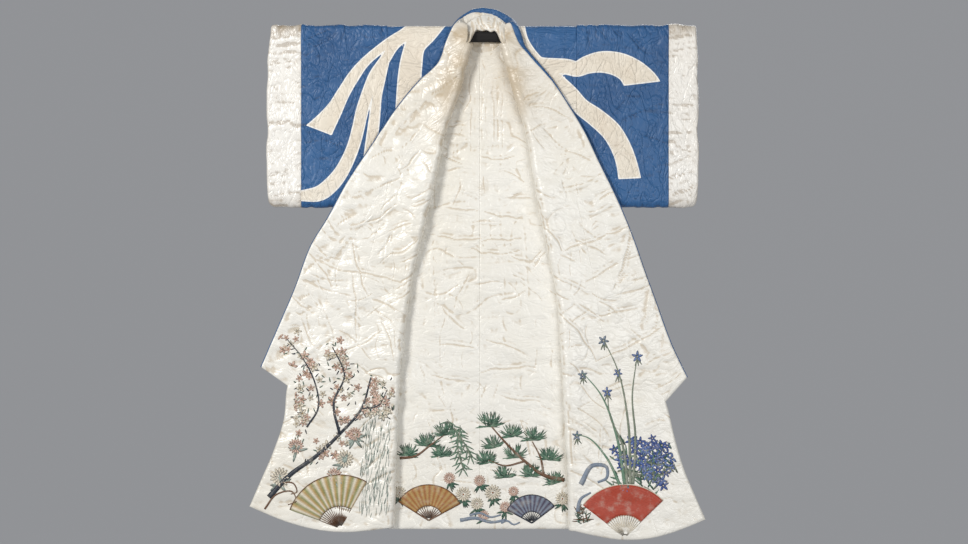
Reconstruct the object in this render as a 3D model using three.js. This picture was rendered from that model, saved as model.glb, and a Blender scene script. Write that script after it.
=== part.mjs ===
// A padded silk robe in kimono form, hung open on a black slat that runs through both sleeves.
// Both fronts are turned outwards like wide lapels, so the ivory lining shows.
// Millimetres, +Z up. The open front faces -Y and +X is the wearer's left.
// The origin is the middle of the slat, where a stand or a wall hook would hold it.
import * as THREE from 'three';

// ---------------------------------------------------------------- driving dimensions

const SLAT = { length: 1310, height: 34, thickness: 14, chamfer: 3 };

const WADDED = 14;          // outer silk with its wadding
const LINING = 2;           // satin lining
const SEAM = 0.3;           // space between two pieces that are sewn together
const WALL = WADDED + SEAM + LINING;

const HALF_WIDTH = 300;     // centre back to armhole and side seam
const CENTRE_BACK = -8;     // the centre back seam hangs a little off the middle of the slat
const BACK_HEM = -1567;
const BACK_NECK = -50;      // lowest point of the neck seam at the back
const SLEEVE_DROP = -543;   // lower fold of the sleeves
const CUFF_CORNER = 26;     // radius of the cuffs' lower outer corners

const ROLL = 5;             // radius of the silk inside the rolled front
const ROLL_REACH = 80;      // how far from the roll the turned front comes to rest on what is under it
const LYING = 1.2;          // space between the turned front and the silk that it lies on
const SLACK = 12;           // how far the turned front falls back where nothing is behind it

// Half the hollow between back and front: round the slat, inside the sleeves, and lower down.
const HOLLOW = { slat: 8.3, sleeve: 5, skirt: 1 };
const HOLLOW_LEVELS = { slat: 0, sleeve: -140, armholeEnd: -543, skirt: -700 };

// The silk's way over the slat, from the shoulder fold to just below it.
const SHOULDER = [
  { out: 0, z: SLAT.height / 2 + SEAM + WALL, lean: 90 },
  { out: 18.9, z: SLAT.height / 2 + 11.9, lean: 45 },
  { out: HOLLOW.slat + WALL, z: 9, lean: 11 },
];

const COLUMNS = { under: 4, roll: 4, turned: 3, overlap: 2, collar: 3 };
const SLEEVE_STEPS = 9;
const GATHER = { depth: 2.2, length: 119 };   // soft gathers along the sleeves' upper and lower folds

/** Turns short rows of numbers into records with named columns. */
function table(columns, rows) {
  return rows.map((row) => Object.fromEntries(columns.map((name, k) => [name, row[k]])));
}

// Each front from the shoulder to the hem. side: height at the side seam. fold: where the front rolls
// outwards. seam: where the collar is sewn on, and below the collar the open edge. edge: the collar's
// free edge. overlap: width of the overlap panel. sag: how far the row hangs below its straight line.
const FRONT_COLUMNS = ['side', 'foldX', 'foldZ', 'seamX', 'seamZ', 'edgeX', 'edgeZ', 'overlap', 'sag'];
const FRONTS = {
  left: table(FRONT_COLUMNS, [
    [33, 51, -25, 77, -20, 136, -30, 0, 0],
    [29, 60, -48, 87, -50, 153, -53, 0, 0],
    [9, 70, -78, 99, -88, 174, -78, 0, 0],
    [-60, 83, -122, 114, -140, 200, -108, 0, 0],
    [-140, 95, -170, 139, -200, 225, -139, 0, 0],
    [-220, 117, -240, 187, -274, 276, -219, 0, 0],
    [-310, 140, -320, 234, -354, 327, -304, 0, 0],
    [-400, 154, -400, 273, -434, 368, -390, 2.5, 0],
    [-541, 177, -530, 342, -577, 437, -533, 30, 0],
    [-680, 202, -655, 382, -676, 481, -640, 48, 0],
    [-780, 225, -760, 418, -778, 517, -742, 64, 0],
    [-880, 240, -870, 453, -873, 552, -837, 82, 0],
    [-1020, 250, -1010, 505, -1014, 602, -973, 106, 0],
    [-1150, 258, -1150, 583, -1160, 653, -1081, 134, 2],
    [-1270, 263, -1270, 612, -1275, 0, 0, 140, 6],
    [-1390, 268, -1385, 640, -1370, 0, 0, 143, 14],
    [-1480, 271, -1480, 675, -1455, 0, 0, 146, 28],
    [-1567, 273, -1569, 710, -1534, 0, 0, 148, 46],
  ]),
  right: table(FRONT_COLUMNS, [
    [33, 25, -25, 51, -20, 122, -32, 0, 0],
    [29, 37, -50, 64, -52, 128, -54, 0, 0],
    [9, 47, -78, 76, -88, 140, -82, 0, 0],
    [-60, 56, -122, 88, -145, 166, -110, 0, 0],
    [-140, 67, -172, 118, -206, 193, -133, 0, 0],
    [-220, 92, -240, 189, -291, 273, -228, 0, 0],
    [-310, 116, -315, 232, -352, 316, -291, 0, 0],
    [-400, 136, -405, 270, -413, 358, -355, 2.5, 0],
    [-541, 162, -520, 341, -520, 431, -466, 34, 0],
    [-650, 190, -640, 400, -628, 495, -583, 62, 0],
    [-740, 212, -730, 444, -697, 539, -653, 84, 0],
    [-860, 232, -855, 499, -839, 596, -799, 108, 0],
    [-990, 252, -990, 563, -987, 659, -945, 130, 0],
    [-1105, 261, -1100, 618, -1110, 704, -1049, 147, 2],
    [-1220, 267, -1215, 630, -1215, 0, 0, 150, 6],
    [-1340, 271, -1335, 664, -1320, 0, 0, 154, 14],
    [-1450, 274, -1450, 705, -1415, 0, 0, 158, 26],
    [-1567, 277, -1560, 739, -1493, 0, 0, 160, 41],
  ]),
};
const COLLAR_END_ROW = 13;
const OVERLAP_TIP_ROW = 7;

// The collar from the centre back over the slat to the front: its sewn edge, its free edge, how far it
// rises between them, and where its lining faces: turned in towards the neck and tipped up, in degrees.
// Distances from the middle are positive on both sides.
const NECK_COLUMNS = ['seamX', 'seamY', 'seamZ', 'edgeX', 'edgeY', 'edgeZ', 'rise', 'turn', 'tip'];
const NECK_BACK = { seamY: 24.2, seamZ: BACK_NECK + 0.6, edgeY: 27, edgeZ: 86, rise: 0, turn: 0, tip: 0 };
const NECK_SIDES = {
  left: table(NECK_COLUMNS, [
    [32, 24.2, -43.2, 36, 27, 82, 0, 10, 0],
    [58, 24.2, -18.6, 64, 22, 72, 0, 26, 4],
    [79.5, 20.5, 12, 91, 9, 58, 8, 50, 16],
    [90, 0, 36, 109, -12, 45, 8, 62, 22],
    [83, -23, 32, 120, -30, 25, 14, 45, 26],
    [78, -30, 4, 129, -32, -5, 6, 18, 12],
  ]),
  right: table(NECK_COLUMNS, [
    [22, 24.2, -46.2, 28, 27, 82, 0, 10, 0],
    [38, 24.2, -30.6, 46, 23, 74, 0, 26, 4],
    [57.5, 20.5, 14, 72, 10, 59, 8, 50, 16],
    [67, 0, 36, 88, -11, 45, 6, 68, 26],
    [60, -23, 32, 101, -30, 25, 14, 45, 26],
    [53, -30, 4, 113, -31, -5, 6, 18, 12],
  ]),
};
const SHOULDER_STATION = 8;   // the collar is parted this many half stations from the centre back

// Where each body half starts at the neck: on the shoulder fold, and just in front of and behind the slat.
// back: the neck seam's points from the centre back outwards, as distance and height.
const NECK_TURN_PLACES = [1, 1.02, 2];
const NECKLINE = {
  left: { fold: 99, turn: 90, back: [[32, -44], [60, -20]] },
  right: { fold: 76, turn: 67, back: [[22, -47], [40, -32]] },
};

// Each sleeve and cuff, as distances from the middle of the slat.
const SLEEVES = {
  left: { seam: 592, end: 687 },
  right: { seam: 574, end: 684 },
};

const BACK_LEVELS = [-60, -140, -240, -340, -440, -543, -680, -820, -960, -1100, -1240, -1380, -1480, BACK_HEM];
const BACK_SIDE_STEPS = 3;    // columns between the neck and the side seam

const SIDES = [
  { name: 'left', sign: 1 },
  { name: 'right', sign: -1 },
];

// ---------------------------------------------------------------- finishes

const BLUE_SILK = new THREE.MeshStandardMaterial({ color: 0x2d5a91, roughness: 0.55, metalness: 0 });
const CREAM_SATIN = new THREE.MeshStandardMaterial({ color: 0xe9e1d4, roughness: 0.5, metalness: 0 });
const IVORY_LINING = new THREE.MeshStandardMaterial({ color: 0xf1ead9, roughness: 0.45, metalness: 0 });
const BLACK_LACQUER = new THREE.MeshStandardMaterial({ color: 0x14120f, roughness: 0.3, metalness: 0 });

// ---------------------------------------------------------------- shared shapes

const mix = (a, b, t) => a + (b - a) * t;

function ease(t) {
  const inside = Math.min(Math.max(t, 0), 1);
  return inside * inside * (3 - 2 * inside);
}

/** Half the hollow between the back's lining and the front's, at a height. */
function hollow(z) {
  const { slat, sleeve, armholeEnd, skirt } = HOLLOW_LEVELS;
  const upper = mix(HOLLOW.slat, HOLLOW.sleeve, ease((slat - z) / (slat - sleeve)));
  return mix(upper, HOLLOW.skirt, ease((armholeEnd - z) / (armholeEnd - skirt)));
}

/** How far the outer silk stands from the middle plane, at a height. */
const silkOut = (z) => hollow(z) + WALL;

/** A point of the outer silk, with the way to the lining from there. */
function clothPoint(x, y, z, toLining) {
  return { at: new THREE.Vector3(x, y, z), toLining: new THREE.Vector3(...toLining).normalize() };
}

/** A point on the silk where it passes over the slat. place: 0 on the shoulder fold, 2 just below it. */
function shoulderPoint(x, place, facing) {
  const k = Math.min(Math.floor(place), SHOULDER.length - 2);
  const [a, b] = [SHOULDER[k], SHOULDER[k + 1]];
  const t = place - k;
  const lean = THREE.MathUtils.degToRad(mix(a.lean, b.lean, t));
  const y = facing * mix(a.out, b.out, t);
  return clothPoint(x, y, mix(a.z, b.z, t), [0, -facing * Math.cos(lean), -Math.sin(lean)]);
}

/** A closed solid from vertex positions and faces of three or four corners, with its faces outwards. */
function closedSolid(points, faces) {
  const triangles = faces.flatMap((f) => (f.length === 4 ? [[f[0], f[1], f[2]], [f[0], f[2], f[3]]] : [f]));
  const volume = triangles.reduce((sum, [a, b, c]) => {
    return sum + points[a].dot(new THREE.Vector3().crossVectors(points[b], points[c])) / 6;
  }, 0);
  const geometry = new THREE.BufferGeometry();
  geometry.setAttribute('position', new THREE.Float32BufferAttribute(points.flatMap((p) => p.toArray()), 3));
  geometry.setIndex(triangles.flatMap(([a, b, c]) => (volume > 0 ? [a, b, c] : [a, c, b])));
  geometry.computeVertexNormals();
  return geometry;
}

/** The rim of a grid of rows and columns, in order round it. */
function rimOf(rows, columns) {
  const rim = [];
  for (let j = 0; j < columns - 1; j++) rim.push([0, j]);
  for (let i = 0; i < rows - 1; i++) rim.push([i, columns - 1]);
  for (let j = columns - 1; j > 0; j--) rim.push([rows - 1, j]);
  for (let i = rows - 1; i > 0; i--) rim.push([i, 0]);
  return rim;
}

/** A sheet of cloth as a closed wall, from one distance inside the outer silk to another. */
function clothWall(grid, from, to) {
  const rows = grid.length;
  const columns = grid[0].length;
  const layer = (distance) => {
    const face = grid.map((row) => row.map((p) => p.at.clone().addScaledVector(p.toLining, distance)));
    return trimSeams(face);
  };
  const points = [...layer(from).flat(), ...layer(to).flat()];
  const near = (i, j) => i * columns + j;
  const far = (i, j) => rows * columns + near(i, j);
  const faces = [];
  for (let i = 0; i < rows - 1; i++) {
    for (let j = 0; j < columns - 1; j++) {
      faces.push([near(i, j), near(i, j + 1), near(i + 1, j + 1), near(i + 1, j)]);
      faces.push([far(i, j), far(i + 1, j), far(i + 1, j + 1), far(i, j + 1)]);
    }
  }
  const rim = rimOf(rows, columns);
  rim.forEach(([i, j], k) => {
    const [m, n] = rim[(k + 1) % rim.length];
    faces.push([near(m, n), near(i, j), far(i, j), far(m, n)]);
  });
  return closedSolid(points, faces);
}

/** Draws a sheet's four edges in by half a seam, so that neighbours keep the seam's space. */
function trimSeams(face) {
  const rows = face.length;
  const columns = face[0].length;
  const drawIn = (point, neighbour) => {
    const way = neighbour.clone().sub(point);
    return point.clone().addScaledVector(way.normalize(), SEAM / 2);
  };
  const across = face.map((row) => row.map((p, j) => {
    if (j === 0) return drawIn(p, row[1]);
    return j === columns - 1 ? drawIn(p, row[columns - 2]) : p;
  }));
  return across.map((row, i) => row.map((p, j) => {
    if (i === 0) return drawIn(p, across[1][j]);
    return i === rows - 1 ? drawIn(p, across[rows - 2][j]) : p;
  }));
}

const garment = new THREE.Group();

function addPiece(name, geometry, material) {
  const piece = new THREE.Mesh(geometry, material);
  piece.name = name;
  garment.add(piece);
}

/** The wadded outer piece of a sheet of cloth, and the lining piece that lies on its inside. */
function addLinedPiece(piece, side, grid) {
  addPiece(`${piece}_${side}`, clothWall(grid, 0, WADDED), BLUE_SILK);
  addPiece(`${piece}_lining_${side}`, clothWall(grid, WADDED + SEAM, WALL), IVORY_LINING);
}

const sliceColumns = (grid, from, to) => grid.map((row) => row.slice(from, to + 1));

// ---------------------------------------------------------------- back

/** One half of the back: rows from the neck and shoulder to the hem, columns from the centre outwards. */
function backGrid({ name, sign }) {
  const neck = NECKLINE[name];
  const centre = sign * CENTRE_BACK;
  const fromFold = (k) => mix(neck.fold, HALF_WIDTH, k / BACK_SIDE_STEPS);
  const across = [centre, ...neck.back.map(([x]) => x), neck.turn];
  const neckEdge = [BACK_NECK, ...neck.back.map(([, z]) => z)];
  for (let k = 0; k <= BACK_SIDE_STEPS; k++) across.push(fromFold(k));
  const flat = (x, z) => clothPoint(sign * x, silkOut(z), z, [0, -1, 0]);
  const firstLevel = BACK_LEVELS[0];
  const upper = SHOULDER.map((_, row) => across.map((x, j) => {
    if (j < neckEdge.length) return flat(x, mix(neckEdge[j], firstLevel - 20, row / (SHOULDER.length + 1)));
    const place = x === neck.turn ? NECK_TURN_PLACES[row] : row;
    return shoulderPoint(sign * x, place, 1);
  }));
  const lower = BACK_LEVELS.map((z, row) => across.map((x, j) => {
    const low = j < neckEdge.length && row === 0 ? z - 20 * (SHOULDER.length / (SHOULDER.length + 1)) : z;
    return flat(x, low);
  }));
  return [...upper, ...lower];
}

// ---------------------------------------------------------------- fronts

/** How far out the middle of the roll lies, in a row of a front. */
const rollCentre = (row) => row.foldX + WALL + ROLL;

/** The outer silk of a turned front at a distance from the middle and a height: it faces backwards. */
function turnedPoint(sign, row, x, z) {
  const settle = ease((x - rollCentre(row)) / ROLL_REACH);
  const free = ease((x - HALF_WIDTH) / HALF_WIDTH) * ease((SLEEVE_DROP - 20 - z) / HALF_WIDTH);
  const y = -silkOut(z) - mix(2 * ROLL, LYING, settle) + SLACK * free;
  return clothPoint(sign * x, y, z, [0, -1, 0]);
}

/** A front in rows from the shoulder to the hem, columns from the side seam round the roll to the edge. */
function frontGrid({ name, sign }) {
  const neck = NECKLINE[name];
  return FRONTS[name].map((row, i) => {
    const centre = rollCentre(row);
    const onShoulder = i < SHOULDER.length;
    const foldX = Math.max(neck.fold, centre + 13);
    const turnX = Math.max(neck.turn, centre + 5);
    const points = [];
    for (let k = 0; k < COLUMNS.under; k++) {
      const t = k / (COLUMNS.under - 1);
      if (onShoulder) {
        points.push(shoulderPoint(sign * mix(HALF_WIDTH, foldX, t), i, -1));
        continue;
      }
      const x = mix(HALF_WIDTH, mix(centre, HALF_WIDTH, 0.12), t);
      const z = mix(row.side, mix(row.foldZ, row.side, 0.12), t);
      points.push(clothPoint(sign * x, -silkOut(z), z, [0, 1, 0]));
    }
    if (onShoulder) {
      points.push(shoulderPoint(sign * turnX, NECK_TURN_PLACES[i], -1));
    } else {
      const x = mix(centre, HALF_WIDTH, 0.05);
      const z = mix(row.foldZ, row.side, 0.05);
      points.push(clothPoint(sign * x, -silkOut(z), z, [0, 1, 0]));
    }
    for (let k = 0; k <= COLUMNS.roll; k++) {
      const turn = (Math.PI * k) / COLUMNS.roll;
      const x = centre - ROLL * Math.sin(turn);
      const y = -silkOut(row.foldZ) - ROLL + ROLL * Math.cos(turn);
      points.push(clothPoint(sign * x, y, row.foldZ, [-sign * Math.sin(turn), Math.cos(turn), 0]));
    }
    const inner = row.seamX - row.overlap;
    const onRow = (x) => {
      const t = (x - centre) / (row.seamX - centre);
      const z = mix(row.foldZ, row.seamZ, t) - row.sag * Math.sin(Math.PI * t);
      return turnedPoint(sign, row, x, z);
    };
    for (let k = 1; k <= COLUMNS.turned; k++) points.push(onRow(mix(centre, inner, k / COLUMNS.turned)));
    for (let k = 1; k <= COLUMNS.overlap; k++) {
      points.push(onRow(mix(inner, row.seamX, k / COLUMNS.overlap)));
    }
    return points;
  });
}

const FRONT_EDGE_COLUMN = COLUMNS.under + 1 + COLUMNS.roll + COLUMNS.turned;

// ---------------------------------------------------------------- collar

/** The turned part of the collar on one front, in stations from the neck to the collar's end. */
function turnedCollar({ name, sign }) {
  return FRONTS[name].slice(0, COLLAR_END_ROW + 1).map((row) => {
    const points = [];
    for (let k = 0; k <= COLUMNS.collar; k++) {
      const t = k / COLUMNS.collar;
      points.push(turnedPoint(sign, row, mix(row.seamX, row.edgeX, t), mix(row.seamZ, row.edgeZ, t)));
    }
    return points;
  });
}

/** The standing part of the collar at one station: a soft arch from the sewn edge to the free edge. */
function standingStation(sign, station) {
  const turn = THREE.MathUtils.degToRad(station.turn);
  const tip = THREE.MathUtils.degToRad(station.tip);
  const toNeck = [-sign * Math.sin(turn) * Math.cos(tip), -Math.cos(turn) * Math.cos(tip), Math.sin(tip)];
  const points = [];
  for (let k = 0; k <= COLUMNS.collar; k++) {
    const t = k / COLUMNS.collar;
    const x = sign * mix(station.seamX, station.edgeX, t);
    const z = mix(station.seamZ, station.edgeZ, t) + 2 * t * (1 - t) * station.rise;
    points.push(clothPoint(x, mix(station.seamY, station.edgeY, t), z, toNeck));
  }
  return points;
}

/** The whole collar from the right front's end round the neck to the left front's end. */
function collarGrid() {
  const middle = { seamX: CENTRE_BACK, edgeX: CENTRE_BACK + 8, ...NECK_BACK };
  const [left, right] = SIDES;
  const standing = ({ name, sign }) => {
    const start = { ...middle, seamX: sign * middle.seamX, edgeX: sign * middle.edgeX };
    return withHalfways([start, ...NECK_SIDES[name]]).slice(1).map((s) => standingStation(sign, s));
  };
  return [
    ...turnedCollar(right).reverse(),
    ...standing(right).reverse(),
    standingStation(1, middle),
    ...standing(left),
    ...turnedCollar(left),
  ];
}

/** The same stations with a halfway one between each two: the sewn edge straight, the rest on a curve. */
function withHalfways(stations) {
  const halfway = (i) => {
    const [a, b] = [stations[i], stations[i + 1]];
    const before = stations[i - 1] ?? a;
    const after = stations[i + 2] ?? b;
    return Object.fromEntries(NECK_COLUMNS.map((column) => {
      const straight = (a[column] + b[column]) / 2;
      const curved = (9 * (a[column] + b[column]) - before[column] - after[column]) / 16;
      return [column, column.startsWith('seam') ? straight : curved];
    }));
  };
  return stations.flatMap((station, i) => (i < stations.length - 1 ? [station, halfway(i)] : [station]));
}

function addCollar() {
  const grid = collarGrid();
  const stations = 2 * NECK_SIDES.left.length;
  const middle = COLLAR_END_ROW + 1 + stations;
  const rightPart = middle - SHOULDER_STATION;
  const leftPart = middle + SHOULDER_STATION;
  addLinedPiece('collar', 'right', grid.slice(0, rightPart + 1));
  addLinedPiece('collar', 'back', grid.slice(rightPart, leftPart + 1));
  addLinedPiece('collar', 'left', grid.slice(leftPart));
}

// ---------------------------------------------------------------- sleeves

const SLEEVE_LEVELS = [-60, -140, -250, -360, -460];
// The lower fold of a sleeve, as distance out and height above the fold, for the silk and the inside.
const LOWER_FOLD = [
  { out: 21.3, up: 42, inOut: 5, inUp: 46 },
  { out: 18.5, up: 14, inOut: 4, inUp: 26 },
  { out: 10.5, up: 3.5, inOut: 2.2, inUp: 20 },
];

/** One cross-section of a sleeve: its outer loop and its inner loop, round from the shoulder fold. */
function sleeveSection(x, sign, cornerLift) {
  const gather = GATHER.depth * Math.sin((2 * Math.PI * x) / GATHER.length);
  const bottom = SLEEVE_DROP + cornerLift + gather / 2;
  const half = SHOULDER.map((s, k) => {
    const lean = THREE.MathUtils.degToRad(s.lean);
    const lift = k === 0 ? Math.abs(gather) : 0;
    return {
      outer: [s.out, s.z + lift],
      inner: [s.out - WALL * Math.cos(lean), s.z - WALL * Math.sin(lean)],
    };
  });
  SLEEVE_LEVELS.forEach((z) => half.push({ outer: [silkOut(z), z], inner: [hollow(z), z] }));
  LOWER_FOLD.forEach((f) => half.push({ outer: [f.out, bottom + f.up], inner: [f.inOut, bottom + f.inUp] }));
  const lowest = { outer: [0, bottom], inner: [0, bottom + 18] };
  const loop = (which) => [
    ...half.map((p) => p[which]),
    lowest[which],
    ...half.slice(1).reverse().map((p) => [-p[which][0], p[which][1]]),
  ].map(([out, z]) => new THREE.Vector3(sign * x, -out, z));
  return [...loop('outer'), ...loop('inner').reverse()];
}

/** A band that runs round its hollow, through sections that each hold the outer and the inner loop. */
function openTube(sections) {
  const ring = sections[0].length;
  const half = ring / 2;
  const at = (i, k) => i * ring + ((k + ring) % ring);
  const next = (k) => (k < half ? (k + 1) % half : half + ((k + 1 - half) % half));
  const faces = [];
  for (let i = 0; i < sections.length - 1; i++) {
    for (let k = 0; k < ring; k++) {
      faces.push([at(i, k), at(i, next(k)), at(i + 1, next(k)), at(i + 1, k)]);
    }
  }
  const inside = (k) => ring - 1 - k;
  const last = sections.length - 1;
  for (let k = 0; k < half; k++) {
    faces.push([at(0, k), at(0, inside(k)), at(0, inside(next(k))), at(0, next(k))]);
    faces.push([at(last, k), at(last, next(k)), at(last, inside(next(k))), at(last, inside(k))]);
  }
  return closedSolid(sections.flat(), faces);
}

/** How much a cuff's lower edge is lifted by its rounded outer corner. */
function cornerLift(x, end) {
  const over = Math.max(x - (end - CUFF_CORNER), 0);
  return CUFF_CORNER - Math.sqrt(Math.max(CUFF_CORNER ** 2 - over ** 2, 0));
}

function addSleeve({ name, sign }) {
  const { seam, end } = SLEEVES[name];
  const stations = [];
  for (let k = 0; k <= SLEEVE_STEPS; k++) {
    stations.push(mix(HALF_WIDTH + SEAM, seam, k / SLEEVE_STEPS));
  }
  addPiece(`sleeve_${name}`, openTube(stations.map((x) => sleeveSection(x, sign, 0))), BLUE_SILK);
  const cuffStart = seam + SEAM;
  const cornerStart = end - CUFF_CORNER;
  const cuff = [cuffStart, mix(cuffStart, cornerStart, 0.5), cornerStart, end - 12, end - 5, end - 1];
  const sections = cuff.map((x) => sleeveSection(x, sign, cornerLift(x, end)));
  addPiece(`cuff_${name}`, openTube(sections), CREAM_SATIN);
}

// ---------------------------------------------------------------- slat

function addSlat() {
  const { length, height, thickness, chamfer } = SLAT;
  const [y, z] = [thickness / 2, height / 2];
  const outline = new THREE.Shape([
    [-y + chamfer, -z], [y - chamfer, -z], [y, -z + chamfer], [y, z - chamfer],
    [y - chamfer, z], [-y + chamfer, z], [-y, z - chamfer], [-y, -z + chamfer],
  ].map(([a, b]) => new THREE.Vector2(a, b)));
  const geometry = new THREE.ExtrudeGeometry(outline, { depth: length, bevelEnabled: false });
  geometry.translate(0, 0, -length / 2);
  const alongX = new THREE.Matrix4().makeBasis(
    new THREE.Vector3(0, 1, 0), new THREE.Vector3(0, 0, 1), new THREE.Vector3(1, 0, 0));
  geometry.applyMatrix4(alongX);
  addPiece('slat', geometry, BLACK_LACQUER);
}

// ---------------------------------------------------------------- the robe

addSlat();
for (const side of SIDES) {
  addLinedPiece('back', side.name, backGrid(side));
  const front = frontGrid(side);
  addLinedPiece('front', side.name, sliceColumns(front, 0, FRONT_EDGE_COLUMN));
  const overlap = sliceColumns(front.slice(OVERLAP_TIP_ROW), FRONT_EDGE_COLUMN, FRONT_EDGE_COLUMN + COLUMNS.overlap);
  addLinedPiece('overlap', side.name, overlap);
  addSleeve(side);
}
addCollar();

export default garment;
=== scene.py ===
"""A wadded silk robe in kimono form, hung open on a black slat: its cloth, stitches and finishes.

Metres and +Z up in the finished meshes; the tables of the cut are in millimetres, as the source gives them.
The open front faces -Y, and 'left' is the wearer's left, at +X.
"""
import math
from random import Random

import bmesh
import bpy
import numpy as np
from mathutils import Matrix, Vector


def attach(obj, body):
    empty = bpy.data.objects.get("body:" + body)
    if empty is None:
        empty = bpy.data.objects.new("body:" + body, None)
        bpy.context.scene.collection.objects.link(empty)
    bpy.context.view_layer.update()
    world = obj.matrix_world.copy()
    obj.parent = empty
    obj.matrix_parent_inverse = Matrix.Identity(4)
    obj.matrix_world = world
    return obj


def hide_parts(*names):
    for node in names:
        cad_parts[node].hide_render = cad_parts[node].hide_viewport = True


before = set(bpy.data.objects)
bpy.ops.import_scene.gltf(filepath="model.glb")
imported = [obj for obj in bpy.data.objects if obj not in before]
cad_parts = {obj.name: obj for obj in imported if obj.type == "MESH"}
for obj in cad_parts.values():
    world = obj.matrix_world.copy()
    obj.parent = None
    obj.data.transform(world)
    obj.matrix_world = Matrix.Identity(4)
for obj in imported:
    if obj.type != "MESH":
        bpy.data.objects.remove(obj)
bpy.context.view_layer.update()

MM = 0.001

# ---------------------------------------------------------------- the cut, in millimetres

SLAT_TOP = 17.0
WADDED, LINING, SEAM = 14.0, 2.0, 0.3
WALL = WADDED + SEAM + LINING
HALF_WIDTH = 300.0
CENTRE_BACK = -8.0
BACK_NECK = -50.0
SLEEVE_DROP = -543.0
CUFF_CORNER = 26.0
ROLL, ROLL_REACH, LYING, SLACK = 5.0, 80.0, 1.2, 12.0
EDGE = 8.0                 # radius of a padded open edge
HOLLOW = {"slat": 8.3, "sleeve": 5.0, "skirt": 1.0}
SHOULDER = [(0.0, SLAT_TOP + SEAM + WALL, 90.0), (18.9, SLAT_TOP + 11.9, 45.0), (HOLLOW["slat"] + WALL, 9.0, 11.0)]
TURN_PLACES = [1.0, 1.02, 2.0]
NECKLINE = {"left": (99.0, 90.0, [(32, -44), (60, -20)]), "right": (76.0, 67.0, [(22, -47), (40, -32)])}
SLEEVES = {"left": (592.0, 687.0), "right": (574.0, 684.0)}
SIGNS = {"left": 1.0, "right": -1.0}
BACK_LEVELS = [-60, -140, -240, -340, -440, -543, -680, -820, -960, -1100, -1240, -1380, -1480, -1567]
SLEEVE_LEVELS = [-60, -140, -250, -360, -460]
LOWER_FOLD = [(21.3, 42, 5, 46), (18.5, 14, 4, 26), (10.5, 3.5, 2.2, 20)]
COLLAR_END_ROW = 13
OVERLAP_TIP_ROW = 7

# side, foldX, foldZ, seamX, seamZ, edgeX, edgeZ, overlap, sag
SIDE, FOLD_X, FOLD_Z, SEAM_X, SEAM_Z, EDGE_X, EDGE_Z, OVERLAP, SAG = range(9)
FRONTS = {
    "left": [
        (33, 51, -25, 77, -20, 136, -30, 0, 0), (29, 60, -48, 87, -50, 153, -53, 0, 0),
        (9, 70, -78, 99, -88, 174, -78, 0, 0), (-60, 83, -122, 114, -140, 200, -108, 0, 0),
        (-140, 95, -170, 139, -200, 225, -139, 0, 0), (-220, 117, -240, 187, -274, 276, -219, 0, 0),
        (-310, 140, -320, 234, -354, 327, -304, 0, 0), (-400, 154, -400, 273, -434, 368, -390, 2.5, 0),
        (-541, 177, -530, 342, -577, 437, -533, 30, 0), (-680, 202, -655, 382, -676, 481, -640, 48, 0),
        (-780, 225, -760, 418, -778, 517, -742, 64, 0), (-880, 240, -870, 453, -873, 552, -837, 82, 0),
        (-1020, 250, -1010, 505, -1014, 602, -973, 106, 0), (-1150, 258, -1150, 583, -1160, 653, -1081, 134, 2),
        (-1270, 263, -1270, 612, -1275, 0, 0, 140, 6), (-1390, 268, -1385, 640, -1370, 0, 0, 143, 14),
        (-1480, 271, -1480, 675, -1455, 0, 0, 146, 28), (-1567, 273, -1569, 710, -1534, 0, 0, 148, 46),
    ],
    "right": [
        (33, 25, -25, 51, -20, 122, -32, 0, 0), (29, 37, -50, 64, -52, 128, -54, 0, 0),
        (9, 47, -78, 76, -88, 140, -82, 0, 0), (-60, 56, -122, 88, -145, 166, -110, 0, 0),
        (-140, 67, -172, 118, -206, 193, -133, 0, 0), (-220, 92, -240, 189, -291, 273, -228, 0, 0),
        (-310, 116, -315, 232, -352, 316, -291, 0, 0), (-400, 136, -405, 270, -413, 358, -355, 2.5, 0),
        (-541, 162, -520, 341, -520, 431, -466, 34, 0), (-650, 190, -640, 400, -628, 495, -583, 62, 0),
        (-740, 212, -730, 444, -697, 539, -653, 84, 0), (-860, 232, -855, 499, -839, 596, -799, 108, 0),
        (-990, 252, -990, 563, -987, 659, -945, 130, 0), (-1105, 261, -1100, 618, -1110, 704, -1049, 147, 2),
        (-1220, 267, -1215, 630, -1215, 0, 0, 150, 6), (-1340, 271, -1335, 664, -1320, 0, 0, 154, 14),
        (-1450, 274, -1450, 705, -1415, 0, 0, 158, 26), (-1567, 277, -1560, 739, -1493, 0, 0, 160, 41),
    ],
}

# seamX, seamY, seamZ, edgeX, edgeY, edgeZ, rise, turn, tip
NECK_MIDDLE = (24.2, -49.4, 27.0, 86.0)
NECK_SIDES = {
    "left": [
        (32, 24.2, -43.2, 36, 27, 82, 0, 10, 0), (58, 24.2, -18.6, 64, 22, 72, 0, 26, 4),
        (79.5, 20.5, 12, 91, 9, 58, 8, 50, 16), (90, 0, 36, 109, -12, 45, 8, 62, 22),
        (83, -23, 32, 120, -30, 25, 14, 45, 26), (78, -30, 4, 129, -32, -5, 6, 18, 12),
    ],
    "right": [
        (22, 24.2, -46.2, 28, 27, 82, 0, 10, 0), (38, 24.2, -30.6, 46, 23, 74, 0, 26, 4),
        (57.5, 20.5, 14, 72, 10, 59, 8, 50, 16), (67, 0, 36, 88, -11, 45, 6, 68, 26),
        (60, -23, 32, 101, -30, 25, 14, 45, 26), (53, -30, 4, 113, -31, -5, 6, 18, 12),
    ],
}

# ---------------------------------------------------------------- shared shapes


def mix(a, b, t):
    """Between a and b by a share t."""
    return a + (b - a) * t


def ease(t):
    """A soft step from 0 to 1."""
    inside = np.clip(t, 0.0, 1.0)
    return inside * inside * (3 - 2 * inside)


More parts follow.
